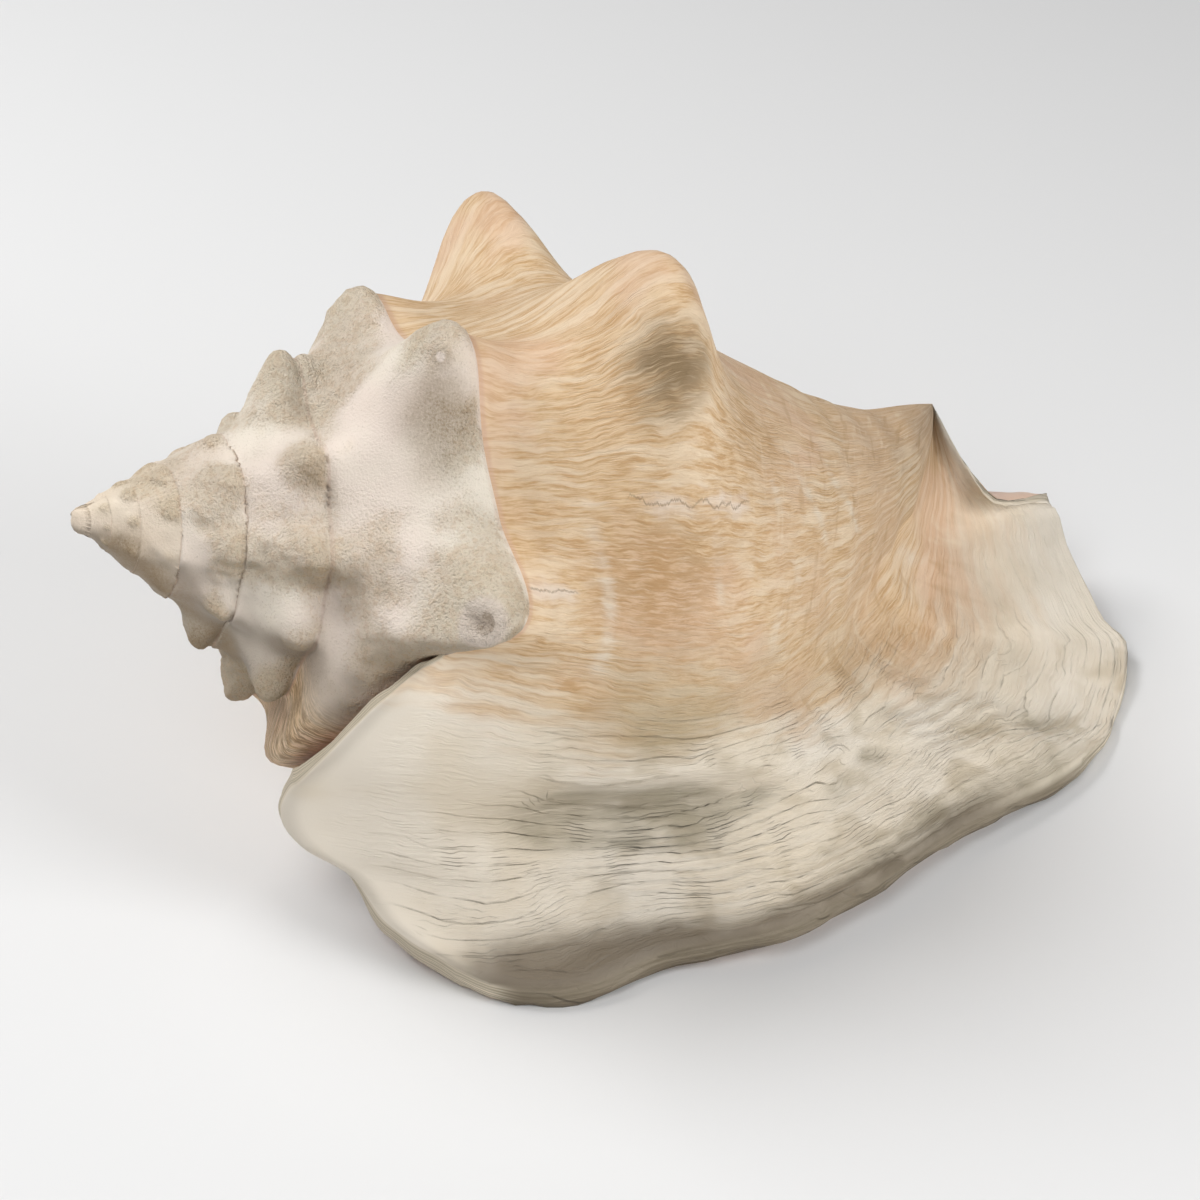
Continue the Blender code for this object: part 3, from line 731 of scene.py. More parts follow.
def read_mesh(mesh):
    """Points in millimetres, normals and marks of the shell's mesh."""
    count = len(mesh.vertices)
    points = np.empty(3 * count)
    normals = np.empty(3 * count)
    mesh.vertices.foreach_get("co", points)
    mesh.vertex_normals.foreach_get("vector", normals)
    marks = {}
    for name in ("age", "share", "inside"):
        marks[name] = np.empty(count)
        mesh.attributes[name].data.foreach_get("value", marks[name])
    points = points.reshape(-1, 3) / MM + FOOTPRINT_MIDDLE
    return points, normals.reshape(-1, 3), marks


def knob_closeness(age, share):
    """1 on top of a knob, falling to 0 at its foot."""
    close = np.zeros(len(age))
    for centre, _, half_width in KNOBS:
        beside = (age - centre) / (half_width * 1.15)
        near = np.abs(beside) < 3
        across = (share[near] - KNOB_SHARE) / KNOB_REACH
        close[near] = np.maximum(close[near], np.exp(-beside[near]**2 - across**2))
    return close


def growth_relief(points, marks, folds, settings):
    """Ridges along the growth lines of the body, and the count of plates across the flared lip."""
    age, share = marks["age"], marks["share"]
    reach = np.clip((age - ATTACH_ANGLE) / WING_GROWTH, -1.5, 1.1)
    drift = layered_noise(points, (1, 34.0, 3), (0.45, 13.0, 4), (0.2, 6.0, 7))
    lines = np.stack([age / RIDGE_SPACING + 0.8 * drift, share * 3.0, np.zeros(len(age))], axis=1)
    body = RIDGE_HEIGHT * lattice_noise(lines, 1.0, 5) * ease(0.04, 0.14, share) * fade(0.86, 0.96, share)
    plate = 30 + reach * settings.lip_plates + 0.9 * drift + 0.42 * folds * ease(90.0, 104.0, age)
    edge = (plate - np.floor(plate))**1.6
    patchy = 0.3 + 0.7 * ease(-0.4, 0.5, lattice_noise(points, 22.0, 6))
    plates = settings.plate_depth * (edge - 0.4) * patchy * ease(0.05, 0.6, reach)
    plates = plates * (1 - 0.85 * ease(0.72, 0.86, share)) * ease(0.06, 0.24, share)
    return body * fade(0.2, 0.6, reach) + plates, plate


def fold_relief(points, marks, settings):
    """Broad folds of the flared lip: the named dips and crests, and smaller uneven ones."""
    age, share = marks["age"], marks["share"]
    total = np.zeros(len(age))
    for centre, place, height, half_age, half_share in FOLDS:
        total += height * np.exp(-((age - centre) / half_age)**2 - ((share - place) / half_share)**2)
    creases = 1 - 2.4 * np.abs(lattice_noise(points, 24.0, 8))
    uneven = creases + 0.7 * lattice_noise(points, 11.0, 9) + 0.3 * lattice_noise(points, 5.0, 10)
    held = ease(88.0, 112.0, age) * (1 - 0.6 * ease(136.0, 144.0, age))
    total += settings.fold_depth * uneven * held * ease(0.08, 0.3, share) * fade(0.78, 0.92, share)
    cords = np.cos((share - 0.66) * 2 * math.pi / CORD_SPACING + 1.2 * lattice_noise(points, 25.0, 16))
    total += 0.35 * lattice_noise(points, 9.0, 11) * ease(20.0, 60.0, age) * ease(0.08, 0.2, share)
    total += CORD_HEIGHT * cords * ease(0.6, 0.68, share) * fade(0.9, 0.95, share) * ease(-40.0, 10.0, age)
    return total * (1 - 0.7 * ease(128.0, 144.0, age))


def crust_relief(points, knobs, old, settings):
    """Pitted, sandy crust on the spire and on the knobs."""
    crust = old * ease(-0.4, 0.8, layered_noise(points, (1, 12.0, 12), (0.4, 5.0, 24)) + 0.8 * knobs)
    grain = layered_noise(points, (1, 2.3, 13), (0.6, 1.5, 14))
    lumps = lattice_noise(points, 6.0, 15)
    return settings.crust_depth * (crust * (grain + 0.6 * knobs) + 0.5 * old * lumps), crust


def rim_relief(points, marks):
    """Flaked layers along the edge of the lip."""
    inside = marks["inside"]
    on_rim = ease(0.02, 0.1, inside) * fade(0.44, 0.5, inside)
    layers = np.stack([inside * 14.0, marks["share"] * 26.0, np.zeros(len(inside))], axis=1)
    return on_rim * (0.55 * lattice_noise(layers, 1.0, 21) + 0.5 * lattice_noise(points, 7.0, 22) - 0.3)


def smooth_tip(points, marks):
    """Draws the oldest turns together into one smooth cone, with their knobs as low bumps."""
    early = (marks["age"] < TIP_END) & (marks["inside"] < 0.5)
    along, radius, _ = around_axis(points[early])
    cone = np.polyval(np.polyfit(along, radius, 2), along) * TIP_FULLNESS
    hold = 0.8 * fade(-1250.0, -800.0, marks["age"][early]) * ease(1.5, 5.0, along)
    middle = axis_point(along)
    stretch = 1 + hold * (cone / np.maximum(radius, 0.5) - 1)
    points[early] = middle + (points[early] - middle) * stretch[:, None]
    return points


def worn_relief(points):
    """The named pits."""
    total = np.zeros(len(points))
    for centre, radius, depth in PITS:
        total -= depth * fade(0.35, 1.0, np.linalg.norm(points - centre, axis=1) / radius)
    return total


def seam_nearness(share, width):
    """1 at the seam where a growth line starts, and 1 at the one where the next turn covers it."""
    return np.exp(-(share / width)**2), np.exp(-((share - SEAM_SHARE) / width)**2)


def shape_relief(mesh, settings):
    """Moves the shell's points along their normals and writes the marks that the finish reads."""
    points, normals, marks = read_mesh(mesh)
    points = smooth_tip(points, marks)
    age, share = marks["age"], marks["share"]
    outside = fade(0.0, 0.5, marks["inside"])
    knobs = knob_closeness(age, share)
    is_new = ease(*OLD_SURFACE, age)
    early = fade(*WORN_TIP, age)
    folds = fold_relief(points, marks, settings)
    ridges, plate = growth_relief(points, marks, folds, settings)
    rough, crust = crust_relief(points, knobs, 1 - is_new, settings)
    newer, older = seam_nearness(share, SEAM_WIDTH)
    seam = (newer + (age < ATTACH_ANGLE - 360) * older) * fade(80.0, 88.0, age) * (1 - early)
    rough = rough * (1 - 0.8 * np.clip(sum(seam_nearness(share, 0.02)), 0, 1))
    rough = rough + early * (0.3 * sum(seam_nearness(share, 0.05)) + 0.45 * lattice_noise(points, 3.2, 23))
    rough = rough + 1.1 * seam_nearness(share, 0.055)[0] * (1 - early) * fade(-330.0, -276.0, age)
    broken = worn_relief(points)
    lift = outside * (is_new * (ridges + folds) + rough - SEAM_DEPTH * seam + broken)
    lift = lift + rim_relief(points, marks)
    for place, radius in WORN_ROUND:
        lift = lift * ease(radius * 0.7, radius * 1.5, np.linalg.norm(points - place, axis=1))
    inner = ease(0.6, 1.0, marks["inside"]) * is_new * folds
    points = points + normals * (lift - 0.6 * inner)[:, None]
    points[:, 2] = np.maximum(points[:, 2], 0.0)
    mesh.vertices.foreach_set("co", in_frame(points).ravel())
    write_marks(mesh, "relief", plate, crust)
    write_marks(mesh, "zone", None, knobs)
    # Depth of the lip's dips, which the finish darkens with grime and painted shade, and depth of the pits.
    write_marks(mesh, "dips_and_pits", ease(0.2, 2.6, -folds) * outside, ease(0.2, 2.5, -broken))
    mesh.update()


def wear_round(mesh):
    """Smooths the corners of the lip that are worn round."""
    net = bmesh.new()
    net.from_mesh(mesh)
    for place, radius in WORN_ROUND:
        spot = Vector(in_frame(place))
        near = [corner for corner in net.verts if (corner.co - spot).length < radius * MM]
        for _ in range(WEARING_ROUNDS):
            bmesh.ops.smooth_vert(
                net, verts=near, factor=0.5, use_axis_x=True, use_axis_y=True, use_axis_z=True)
    net.to_mesh(mesh)
    net.free()


def write_marks(mesh, name, first, second):
    """Writes one or two values of each point into a UV map."""
    corners = np.empty(len(mesh.loops), int)
    mesh.loops.foreach_get("vertex_index", corners)
    layer = mesh.uv_layers[name].uv
    values = np.empty(2 * len(corners))
    layer.foreach_get("vector", values)
    if first is not None:
        values[0::2] = first[corners]
    values[1::2] = second[corners]
    layer.foreach_set("vector", values)


class Number:
    """A socket that holds a number and takes part in arithmetic."""

    def __init__(self, finish, socket):
        self.finish = finish
        self.socket = socket

    def __add__(self, other):
        return self.finish.math("ADD", self, other)

    def __sub__(self, other):
        return self.finish.math("SUBTRACT", self, other)

    def __rsub__(self, other):
        return self.finish.math("SUBTRACT", other, self)

    def __mul__(self, other):
        return self.finish.math("MULTIPLY", self, other)

    def __abs__(self):
        return self.finish.math("ABSOLUTE", self)

    __radd__ = __add__
    __rmul__ = __mul__

    def step(self, low, high):
        """0 below low, 1 above high, smooth between."""
        inputs = {"Value": self, "From Min": low, "From Max": high}
        node = self.finish.add("ShaderNodeMapRange", {"interpolation_type": "SMOOTHSTEP"}, inputs)
        return Number(self.finish, node.outputs["Result"])

    def fade(self, low, high):
        """1 below low, 0 above high, smooth between."""
        return 1 - self.step(low, high)


class Finish:
    """The nodes of a material or of the surroundings, and the shader that they feed."""

    def __init__(self, owner, shader="Principled BSDF"):
        owner.use_nodes = True
        self.owner = owner
        self.tree = owner.node_tree
        self.shader = self.tree.nodes[shader]

    def add(self, kind, settings, inputs):
        """A node of that type, with its settings and the values or links of its sockets."""
        node = self.tree.nodes.new(kind)
        for name, value in settings.items():
            setattr(node, name, value)
        self.fill(node, inputs)
        return node

    def fill(self, node, inputs):
        """Gives the sockets of a node their values or links."""
        for name, value in inputs.items():
            if isinstance(value, Number):
                value = value.socket
            if isinstance(value, bpy.types.NodeSocket):
                self.tree.links.new(value, node.inputs[name])
            else:
                node.inputs[name].default_value = value

    def math(self, operation, *values):
        node = self.add("ShaderNodeMath", {"operation": operation}, dict(enumerate(values)))
        return Number(self, node.outputs[0])

    def place(self, x, y, z):
        return self.add("ShaderNodeCombineXYZ", {}, {"X": x, "Y": y, "Z": z}).outputs[0]

    def split(self, vector):
        node = self.add("ShaderNodeSeparateXYZ", {}, {"Vector": vector})
        return [Number(self, socket) for socket in node.outputs]

    def map_pair(self, name):
        node = self.add("ShaderNodeUVMap", {"uv_map": name}, {})
        return self.split(node.outputs[0])[:2]

    def noise(self, place, scale, detail=2.0, roughness=0.5):
        inputs = {"Vector": place, "Scale": scale, "Detail": detail, "Roughness": roughness}
        return Number(self, self.add("ShaderNodeTexNoise", {}, inputs).outputs["Fac"])

    def lay(self, colour, *layers):
        """Lays colours over the first one, each by the factor that comes before it."""
        for factor, over in layers:
            inputs = {0: factor, 6: colour, 7: over}
            colour = self.add("ShaderNodeMix", {"data_type": "RGBA"}, inputs).outputs[2]
        return colour


class ShellSkin(Finish):
    """The shell's finish, with the readings of its surface that the colours are made from."""

    def __init__(self):
        super().__init__(bpy.data.materials.new("weathered_conch_shell"))
        turns, self.share = self.map_pair("growth")
        self.inside, self.knob = self.map_pair("zone")
        self.plate, self.crust = self.map_pair("relief")
        self.dip, self.broken = self.map_pair("dips_and_pits")
        self.spot = self.add("ShaderNodeTexCoord", {}, {}).outputs["Object"]
        self.height = self.split(self.spot)[2]
        # Upward part of the surface's normal; faces turned down get painted shade from it.
        self.facing = self.split(self.add("ShaderNodeNewGeometry", {}, {}).outputs["Normal"])[2]
        self.patch = self.noise(self.spot, 38.0, 3.0)
        self.blotch = self.noise(self.spot, 120.0)
        self.speck = self.noise(self.spot, 1900.0, 2.0, 0.7)
        self.grain = self.noise(self.spot, 620.0, 3.0, 0.65)
        self.age = turns * 360.0 + (self.blotch - 0.5) * 3.0
        self.fine = self.streaks(1.7, 26.0, 3.0, 3.0, 0.65)
        self.thread = self.streaks(4.2, 30.0, 8.0, 2.0, 0.6)
        self.along = self.streaks(0.45, 10.0, 4.0)
        self.rag = self.streaks(0.1, 14.0, 7.0)
        self.old = (self.age + (self.patch - 0.5) * 14.0).fade(*OLD_SURFACE)
        turn = ATTACH_ANGLE + 11.0 * self.share.step(0.0, 0.22) + 22.0 * self.share.step(0.4, 0.95)
        past = self.age - turn + (self.patch - 0.5) * 22.0 + (self.along - 0.5) * 16.0
        self.past = past * (1 - 0.5 * self.share.step(0.5, 0.85))
        self.white = self.past.step(-6.0, 9.0)
        self.under = self.inside.step(0.55, 0.9)

    def streaks(self, per_degree, per_share, depth, detail=2.0, roughness=0.5):
        """Noise drawn out along the growth lines, cut at its own depth."""
        place = self.place(self.age * per_degree, self.share * per_share, depth)
        return self.noise(place, 1.0, detail, roughness)

    def near(self, place, inner, outer):
        """1 within the inner distance of a place, 0 beyond the outer one (all in millimetres)."""
        ends = {0: self.spot, 1: Vector(in_frame(place))}
        apart = self.add("ShaderNodeVectorMath", {"operation": "DISTANCE"}, ends).outputs["Value"]
        return Number(self, apart).fade(inner * MM, outer * MM)

    def spots(self, places, ragged, over):
        """Layers of one colour at the listed places, uneven by the given reading."""
        return [(self.near(place, inner, outer) * ragged * strength, over)
                for place, inner, outer, strength in places]

    def stroke(self, start, end, half_width):
        """A worn stroke between two places given as growth angle and share."""
        slope = (end[1] - start[1]) / (end[0] - start[0])
        beside = abs(self.share - (start[1] + (self.age - start[0]) * slope))
        ragged = beside + (self.fine + self.rag - 1.0) * half_width * 1.6
        strip = ragged.fade(0.0, half_width * 1.3) * self.along.step(0.25, 0.6)
        strip = strip * (0.4 + 0.6 * self.blotch.step(0.35, 0.6))
        first = self.age.step(start[0] - 2.0, start[0] + 2.0)
        return strip * first * self.age.fade(end[0] - 3.0, end[0] + 3.0)

    def crack(self, age, start, end, swing):
        """A jagged thin line along the growth lines between two shares, and the worn band around it."""
        jag = self.noise(self.place(self.share * 38.0, age, 1.0), 1.0, 4.0, 0.62)
        beside = abs(self.age - age - (jag - 0.5) * swing)
        within = self.share.step(start, start + 0.01) * self.share.fade(end - 0.02, end)
        line = beside.fade(0.04, 0.42) * self.speck.step(0.25, 0.5) * within
        worn = beside.fade(0.3, 3.6) * (self.along + self.patch).step(0.85, 1.15)
        return line * self.patch.step(0.36, 0.46), worn * within

    def plate_edges(self):
        """Dark broken lines where one growth plate of the lip ends over the next."""
        reach = self.age.step(100.0, 136.0) * 0.13
        held = (self.share + reach).step(0.09, 0.2) * (1 - 0.85 * self.share.step(0.72, 0.86))
        main = self.math("FRACT", self.plate).step(0.88, 1.0)
        main = main * self.noise(self.spot, 75.0, 3.0, 0.6).step(0.4, 0.62)
        count = self.plate * 3.0 + (self.blotch - 0.5) * 3.0 + (self.rag - 0.5) * 3.0
        small = self.math("FRACT", count).step(0.78, 1.0)
        small = small * self.noise(self.spot, 130.0).step(0.5, 0.66)
        return main * held, small * held

    def seam(self):
        """The thin line where a turn meets the one before."""
        near, far = 0.003, 0.009
        older = self.share.step(SEAM_SHARE - far, SEAM_SHARE - near) * self.old
        return (self.share.fade(near, far) + older) * self.age.fade(ATTACH_ANGLE - 10.0, ATTACH_ANGLE)


def shell_finish(tones):
    """Tan, streaked body; chalky lip with dark plate edges; sandy spire; glossy pink inside."""
    skin = ShellSkin()
    main, small = skin.plate_edges()
    colour = skin.lay(
        body_colour(skin, tones),
        (skin.white, lip_colour(skin, tones, main, small)),
        (skin.inside.step(0.02, 0.12), rim_colour(skin, tones)),
        (skin.old, spire_colour(skin, tones)),
        (skin.seam() * (0.45 - 0.5 * skin.old * skin.blotch), tones.seam),
        (skin.broken * 0.3, tones.dirt_and_shade),
        (skin.under, inner_colour(skin, tones)))
    rough = OUTSIDE_ROUGHNESS + 0.12 * skin.crust + (skin.patch - 0.5) * 0.2
    rough = rough * (1 - skin.under) + INSIDE_ROUGHNESS * skin.under
    relief = {"Height": fine_relief(skin, main, small), "Distance": MM}
    normal = skin.add("ShaderNodeBump", {}, relief).outputs["Normal"]
    skin.fill(skin.shader, {"Base Color": colour, "Roughness": rough, "Normal": normal})
    return skin.owner


def fine_relief(skin, main, small):
    """Relief too fine for the mesh, summed in millimetres."""
    streaks = (skin.fine - 0.5) * 0.5 * skin.share.step(0.01, 0.05)
    plates = (main * -0.45 - small * 0.3) * skin.age.step(82.0, 100.0)
    grains = (skin.speck - 0.5) * (0.2 + 0.8 * skin.crust) + (skin.grain - 0.5) * skin.crust * 0.9
    height = (streaks + plates) * (1 - skin.old) + grains * (0.12 + 0.88 * skin.old)
    return height * (1 - skin.under)


def body_colour(skin, tones):
    """Tan with amber, cream and umber streaks, darker places, worn strokes and cracks, and painted shade on
    a knob's face and below a knob.
    """
    age, share = skin.age, skin.share
    flush = skin.noise(skin.spot, 26.0)
    cord = skin.noise(skin.place(age * 0.05, share * 42.0 + age * 0.05, 5.0), 1.0, 2.0, 0.6)
    peach = share.step(0.35, 0.6) * skin.patch.step(0.35, 0.6)
    pale = cord.step(0.55, 0.7) * (0.25 + 0.75 * share.step(0.3, 0.5))
    warm = (1 - cord).step(0.55, 0.7) * share.step(0.4, 0.55)
    olive = skin.past.step(-30.0, -6.0) * share.step(0.12, 0.25) * share.fade(0.6, 0.8)
    olive = olive * (1 - 0.5 * share.step(0.3, 0.45))
    streaked = 0.25 + 1.3 * (skin.fine + skin.along * 0.5).step(0.55, 0.9)
    threaded = 0.5 + 0.7 * (skin.thread + skin.blotch).step(0.8, 1.2)
    # Painted shade below the knob, streaked.
    shade_under_knob = age.fade(-180.0, -150.0) * (0.1 + 0.9 * skin.fine.step(0.4, 0.6))
    cracks = []
    for crack in CRACKS:
        line, worn = skin.crack(*crack)
        cracks += [(worn * 0.6, tones.blush), (line * 0.6, tones.dirt_and_shade)]
    return skin.lay(
        tones.tan,
        (skin.fine.step(0.4, 0.64) * 0.78, tones.amber),
        (skin.along.step(0.46, 0.62) * 0.66, tones.cream),
        (skin.blotch.step(0.52, 0.75) * 0.3, tones.cream),
        (skin.thread.step(0.56, 0.72) * 0.4, tones.umber),
        ((1 - skin.thread).step(0.56, 0.7) * 0.4, tones.cream),
        (peach * 0.45, tones.peach),
        ((flush + (skin.rag - 0.5) * 0.3).step(0.5, 0.68) * 0.45, tones.flush),
        (pale * (skin.patch + skin.along).step(0.8, 1.15) * 0.6, tones.cream),
        (warm * 0.4, tones.umber),
        (olive * (0.4 + 0.7 * skin.rag), tones.olive),
        *skin.spots(TINTS, streaked, tones.umber),
        # Painted shade on the tall knob's shaded face.
        *skin.spots(DUSKY, threaded, tones.dusk),
        *[(skin.stroke(*ends, width) * strength, tones.chalk) for *ends, width, strength in STROKES],
        (shade_under_knob * 0.75, tones.dirt_and_shade),
        *cracks)


def lip_colour(skin, tones, main, small):
    """Bleached white with stains, dips darkened by grime and painted shade, dark plate edges, and painted
    shade along the lower edge.
    """
    age, share = skin.age, skin.share
    stain = (skin.rag + (skin.blotch - 0.5) * 0.5).step(0.5, 0.72) * share.step(0.1, 0.2)
    # Painted shade along the lip's lower edge, where it rolls down towards the rim.
    edge = age.step(132.0, 143.0) * share.step(0.28, 0.42) * share.fade(0.62, 0.70)
    low = age - 4.0 * share.step(0.1, 0.24) + (skin.rag + skin.along - 1.0) * 4.0
    low = low.step(133.0, 141.5) * share.fade(0.5, 0.62) * (share + age * 0.01).step(1.38, 1.46)
    return skin.lay(
        tones.chalk,
        (skin.patch.step(0.35, 0.65), tones.bone),
        (stain * 0.45 * share.fade(0.76, 0.9), tones.olive),
        # Dips darkened in grey: partly grime, partly painted shade.
        (skin.dip * (skin.along + skin.blotch - 0.3) * 0.9, tones.grey),
        (main * 0.5 + small * 0.25, tones.grey),
        (edge * (skin.rag + skin.blotch - 0.3) * 0.8, tones.grey),
        (low * 0.86, tones.shadow),
        (main * skin.speck.step(0.5, 0.7) * 0.4, tones.dirt_and_shade))


def rim_colour(skin, tones):
    """Bone and grey layers of the rim, with painted shade along the front, deeper towards the underside."""
    layers = skin.noise(skin.place(skin.inside * 26.0, skin.share * 12.0, 2.0), 1.0, 3.0, 0.6)
    # Painted shade along the rim's front, deeper towards the underside.
    front = skin.share.step(0.0, 0.03) * skin.share.fade(0.62, 0.72)
    deep = (skin.inside + (layers - 0.5) * 0.4).step(0.12, 0.42) * front
    return skin.lay(
        tones.bone,
        (layers.step(0.35, 0.65), tones.grey),
        (front * 0.6, tones.grey),
        (front * 0.62 + deep * 0.33, tones.shadow))


def spire_colour(skin, tones):
    """Pinkish chalk with sandy, pocked crust and pits; spots of grime and painted shade; painted shade mixed
    with grime low down and on faces turned down.
    """
    patch, blotch, speck, crust = skin.patch, skin.blotch, skin.speck, skin.crust
    tip = (skin.age + (patch - 0.5) * 600.0).fade(-1500.0, -900.0)
    # Painted shade mixed with grime: darker low down on the spire.
    shade = (skin.height + (patch - 0.5) * 0.02).fade(0.046, 0.080)
    # Painted shade mixed with grime on faces turned down.
    below = (skin.facing + (patch + blotch - 1.0) * 0.5).fade(-0.35, 0.32)
    ragged = (speck - 0.5) * 0.9 + (blotch - 0.5) * 0.7
    pocks = (skin.grain + (crust - 0.5) * 0.08).step(0.52, 0.62) * (crust + ragged * 0.5).step(0.2, 0.8)
    pits = (speck + crust * 0.08 + (blotch - 0.5) * 0.3).step(0.62, 0.74)
    holes = []
    for place, radius, _ in PITS:
        hole = (skin.near(place, radius * 0.4, radius) + (speck + blotch - 1.0) * 0.7).step(0.35, 0.6)
        holes.append((skin.near(place, radius * 1.2, radius * 1.7) * 0.75, tones.blush))
        holes.append((hole * (0.15 + 0.7 * speck), tones.dirt_and_shade))
    return skin.lay(
        tones.blush,
        (patch.step(0.35, 0.65), tones.chalk),
        ((blotch + (skin.knob - 0.4) * 0.3).step(0.5, 0.8) * 0.3, tones.sand),
        (tip * (0.2 + 0.5 * blotch), tones.sand),
        (shade * 0.3, tones.grey),
        (shade * (0.1 + 0.4 * blotch), tones.dirt_and_shade),
        (below * (0.45 + 0.4 * blotch), tones.shadow),
        ((crust + ragged).step(0.25, 1.1) * 0.45, tones.sand),
        (pocks * 0.2, tones.amber),
        # Spots of grime and painted shade on knob faces and low on the spire.
        *skin.spots(GRIME_AND_SHADE_SPOTS, 0.72 + ragged * 1.4, tones.dusk),
        (pits * 0.24, tones.dirt_and_shade),
        *holes,
        (skin.near(BALL, 1.3, 3.4) * 0.3, tones.dusk),
        (skin.near(BALL, 0.8, 1.4), tones.blush))


def inner_colour(skin, tones):
    """Two pinks, paler towards the rim."""
    return skin.lay(
        tones.pink,
        (skin.patch.step(0.3, 0.7), tones.rose),
        (skin.age.step(110.0, 142.0) * 0.6, tones.cream))


def tone(red, green, blue):
    """A screen colour from 0 to 255 as the linear colour that materials take."""
    parts = [value / 255 for value in (red, green, blue)]
    return tuple(v / 12.92 if v <= 0.04045 else ((v + 0.055) / 1.055)**2.4 for v in parts) + (1.0,)


def colour_property(name, description, *screen_colour):
    return FloatVectorProperty(
        name=name, description=description, default=tone(*screen_colour), subtype="COLOR",
        size=4, min=0.0, max=1.0)


def power_property(name, description, default):
    return FloatProperty(name=name, description=description, default=default, min=0.0, unit="POWER")


class ShellSettings(bpy.types.PropertyGroup):
    """Relief depths in millimetres and the shell's colours."""

    lip_plates: IntProperty(
        name="Lip plates", description="Growth plates across the flared lip", default=17, min=1)
    plate_depth: FloatProperty(
        name="Plate depth", description="Step at a plate's edge, in mm", default=1.25, min=0.0)
    fold_depth: FloatProperty(
        name="Fold depth", description="Depth of the lip's uneven folds, in mm", default=1.25, min=0.0)
    crust_depth: FloatProperty(
        name="Crust depth", description="Depth of the spire's crust, in mm", default=0.55, min=0.0)
    tan: colour_property("Tan", "Main colour of the body", 224, 194, 155)
    amber: colour_property("Amber", "Darker streaks of the body", 192, 149, 98)
    cream: colour_property("Cream", "Pale bands of the body", 238, 217, 188)
    peach: colour_property("Peach", "Warm cast towards the canal", 216, 182, 148)
    umber: colour_property("Umber", "Darkest streaks of the body", 186, 146, 98)
    flush: colour_property("Flush", "Pinkish cast of the body", 224, 186, 158)
    # Dusk: painted shade on the shaded faces of knobs, and grime with painted shade in spots on the spire.
    dusk: colour_property("Dusk", "Olive brown of shaded and grimy places", 142, 118, 84)
    # Shadow: painted shade along the lip's lower edge and the rim's front, and painted shade mixed with
    # grime on the spire's faces turned down.
    shadow: colour_property("Shadow", "Dark grime of low edges and undersides", 98, 84, 64)
    olive: colour_property("Olive", "Greenish stain at and on the lip", 178, 160, 128)
    chalk: colour_property("Chalk", "Bleached surface", 236, 226, 210)
    bone: colour_property("Bone", "Warmer bleached surface", 230, 217, 196)
    # Grey: the rim's layers and grime at plate edges; painted shade along the lip's lower edge, on the rim's
    # front and low on the spire; grime and painted shade in the lip's dips.
    grey: colour_property("Grey", "Grime in low places and plate edges", 158, 148, 126)
    blush: colour_property("Blush", "Pinkish cast of the spire", 236, 221, 208)
    sand: colour_property("Sand", "Sandy crust", 222, 202, 170)
    # Dirt: also painted shade below a knob of the body and, with grime, low on the spire.
    dirt_and_shade: colour_property("Dirt", "Brown dirt in pits and cracks", 136, 112, 82)
    seam: colour_property("Seam", "Line between two turns", 205, 165, 142)
    pink: colour_property("Pink", "Inside of the opening", 229, 172, 150)
    rose: colour_property("Rose", "Deeper pink inside", 214, 146, 130)


class StageSettings(bpy.types.PropertyGroup):
    """Floor, light and surroundings."""

    floor_size: FloatProperty(name="Floor", description="Side of the floor", default=6.0, unit="LENGTH")
    floor_colour: colour_property("Floor colour", "Plain pale floor", 232, 232, 232)
    key_power: power_property("Key light", "Power of the soft main light", 7.6)
    fill_power: power_property("Fill light", "Power of the fill light", 6.4)
    side_power: power_property("Side light", "Power of the left light", 3.4)
    sky: FloatProperty(name="Surroundings", description="Strength of the even light around", default=0.12)


def mesh_of(net, name):
    """The mesh of a net, which is freed."""
    mesh = bpy.data.meshes.new(name)
    net.to_mesh(mesh)
    net.free()
    return mesh


def put_in_scene(context, name, data):
    thing = bpy.data.objects.new(name, data)
    context.scene.collection.objects.link(thing)
    return thing


class CONCH_OT_add_shell(bpy.types.Operator):
    """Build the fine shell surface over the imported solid"""

    bl_idname = "conch.add_shell"
    bl_label = "Add Shell"

    def execute(self, context):
        settings = context.scene.conch_shell
        mesh = mesh_of(closed_net(ShellSheets()), "shell_surface")
        shape_relief(mesh, settings)
        wear_round(mesh)
        mesh.shade_smooth()
        mesh.materials.append(shell_finish(settings))
        surface = put_in_scene(context, "shell_surface", mesh)
        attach(surface, "root")
        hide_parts("shell")
        return {"FINISHED"}


class CONCH_OT_add_stage(bpy.types.Operator):
    """Add the pale floor, the soft studio light and the camera"""

    bl_idname = "conch.add_stage"
    bl_label = "Add Stage"

    def execute(self, context):
        settings = context.scene.conch_stage
        add_floor(context, settings)
        add_light(context, "key", (-0.48, 0.48, 0.84), settings.key_power)
        add_light(context, "fill", (0.67, -0.67, 0.48), settings.fill_power)
        add_light(context, "side", (-0.48, -0.48, 0.84), settings.side_power)
        add_surroundings(context, settings)
        context.scene.view_settings.view_transform = "Standard"
        add_camera(context)
        return {"FINISHED"}


def add_surroundings(context, settings):
    """An even, dim light from all round, which the camera sees as a pale wall."""
    sky = Finish(bpy.data.worlds.new("even_light"), "Background")
    sky.fill(sky.shader, {"Color": (1.0, 1.0, 1.0, 1.0), "Strength": settings.sky})
    wall = sky.add("ShaderNodeBackground", {}, {"Color": settings.floor_colour})
    seen = sky.add("ShaderNodeLightPath", {}, {}).outputs["Is Camera Ray"]
    mix = sky.add("ShaderNodeMixShader", {}, {0: seen, 1: sky.shader.outputs[0], 2: wall.outputs[0]})
    sky.fill(sky.tree.nodes["World Output"], {"Surface": mix.outputs[0]})
    context.scene.world = sky.owner


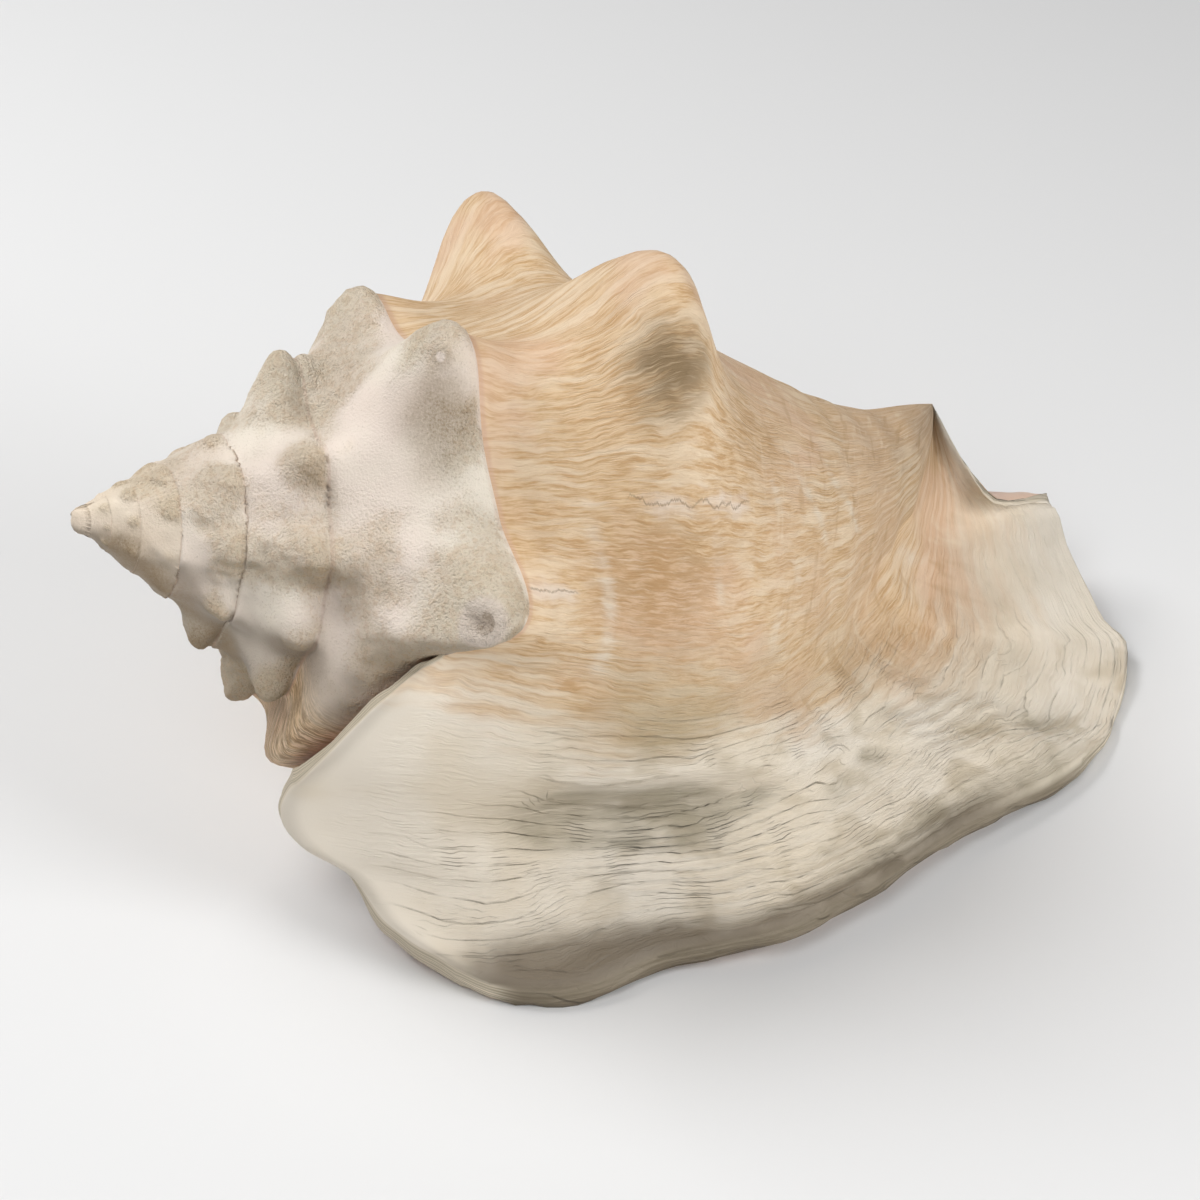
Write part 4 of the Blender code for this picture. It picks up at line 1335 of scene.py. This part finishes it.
def add_floor(context, settings):
    slab = bmesh.new()
    bmesh.ops.create_grid(slab, x_segments=1, y_segments=1, size=settings.floor_size / 2)
    mesh = mesh_of(slab, "floor")
    pale = Finish(bpy.data.materials.new("pale_floor"))
    pale.fill(pale.shader, {"Base Color": settings.floor_colour, "Roughness": 0.9})
    mesh.materials.append(pale.owner)
    floor = put_in_scene(context, "floor", mesh)
    floor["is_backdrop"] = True


def aim(thing, target):
    way = Vector(target) - thing.location
    thing.rotation_euler = way.to_track_quat("-Z", "Y").to_euler()


def add_light(context, name, place, power):
    light = bpy.data.lights.new(name, "AREA")
    light.shape = "DISK"
    light.size = LIGHT_SIZE
    light.energy = power
    lamp = put_in_scene(context, name, light)
    lamp.location = place
    aim(lamp, (0.0, 0.0, LIGHT_AIM))


def add_camera(context):
    lens = bpy.data.cameras.new("camera")
    lens.lens = CAMERA_LENS
    lens.sensor_width = SENSOR_WIDTH
    camera = put_in_scene(context, "camera", lens)
    camera.location = in_frame(CAMERA_PLACE)
    aim(camera, in_frame(CAMERA_TARGET))
    context.scene.camera = camera


class CONCH_PT_panel(bpy.types.Panel):
    """Lists the shell's operators and their settings"""

    bl_idname = "CONCH_PT_panel"
    bl_label = "Conch"
    bl_space_type = "VIEW_3D"
    bl_region_type = "UI"
    bl_category = "Conch"

    def draw(self, context):
        layout = self.layout
        layout.operator("conch.add_shell")
        for name in ShellSettings.__annotations__:
            layout.prop(context.scene.conch_shell, name)
        layout.operator("conch.add_stage")
        for name in StageSettings.__annotations__:
            layout.prop(context.scene.conch_stage, name)


CLASSES = (ShellSettings, StageSettings, CONCH_OT_add_shell, CONCH_OT_add_stage, CONCH_PT_panel)


def register():
    for cls in CLASSES:
        bpy.utils.register_class(cls)
    bpy.types.Scene.conch_shell = PointerProperty(type=ShellSettings)
    bpy.types.Scene.conch_stage = PointerProperty(type=StageSettings)


def unregister():
    del bpy.types.Scene.conch_stage
    del bpy.types.Scene.conch_shell
    for cls in reversed(CLASSES):
        bpy.utils.unregister_class(cls)


def main():
    register()
    bpy.ops.conch.add_shell()
    bpy.ops.conch.add_stage()
    sizes = {"cad": CAD_BOX, "visual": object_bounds()}
    {name: [list(corner) for corner in box] for name, box in sizes.items()}


if __name__ == "__main__":
    main()
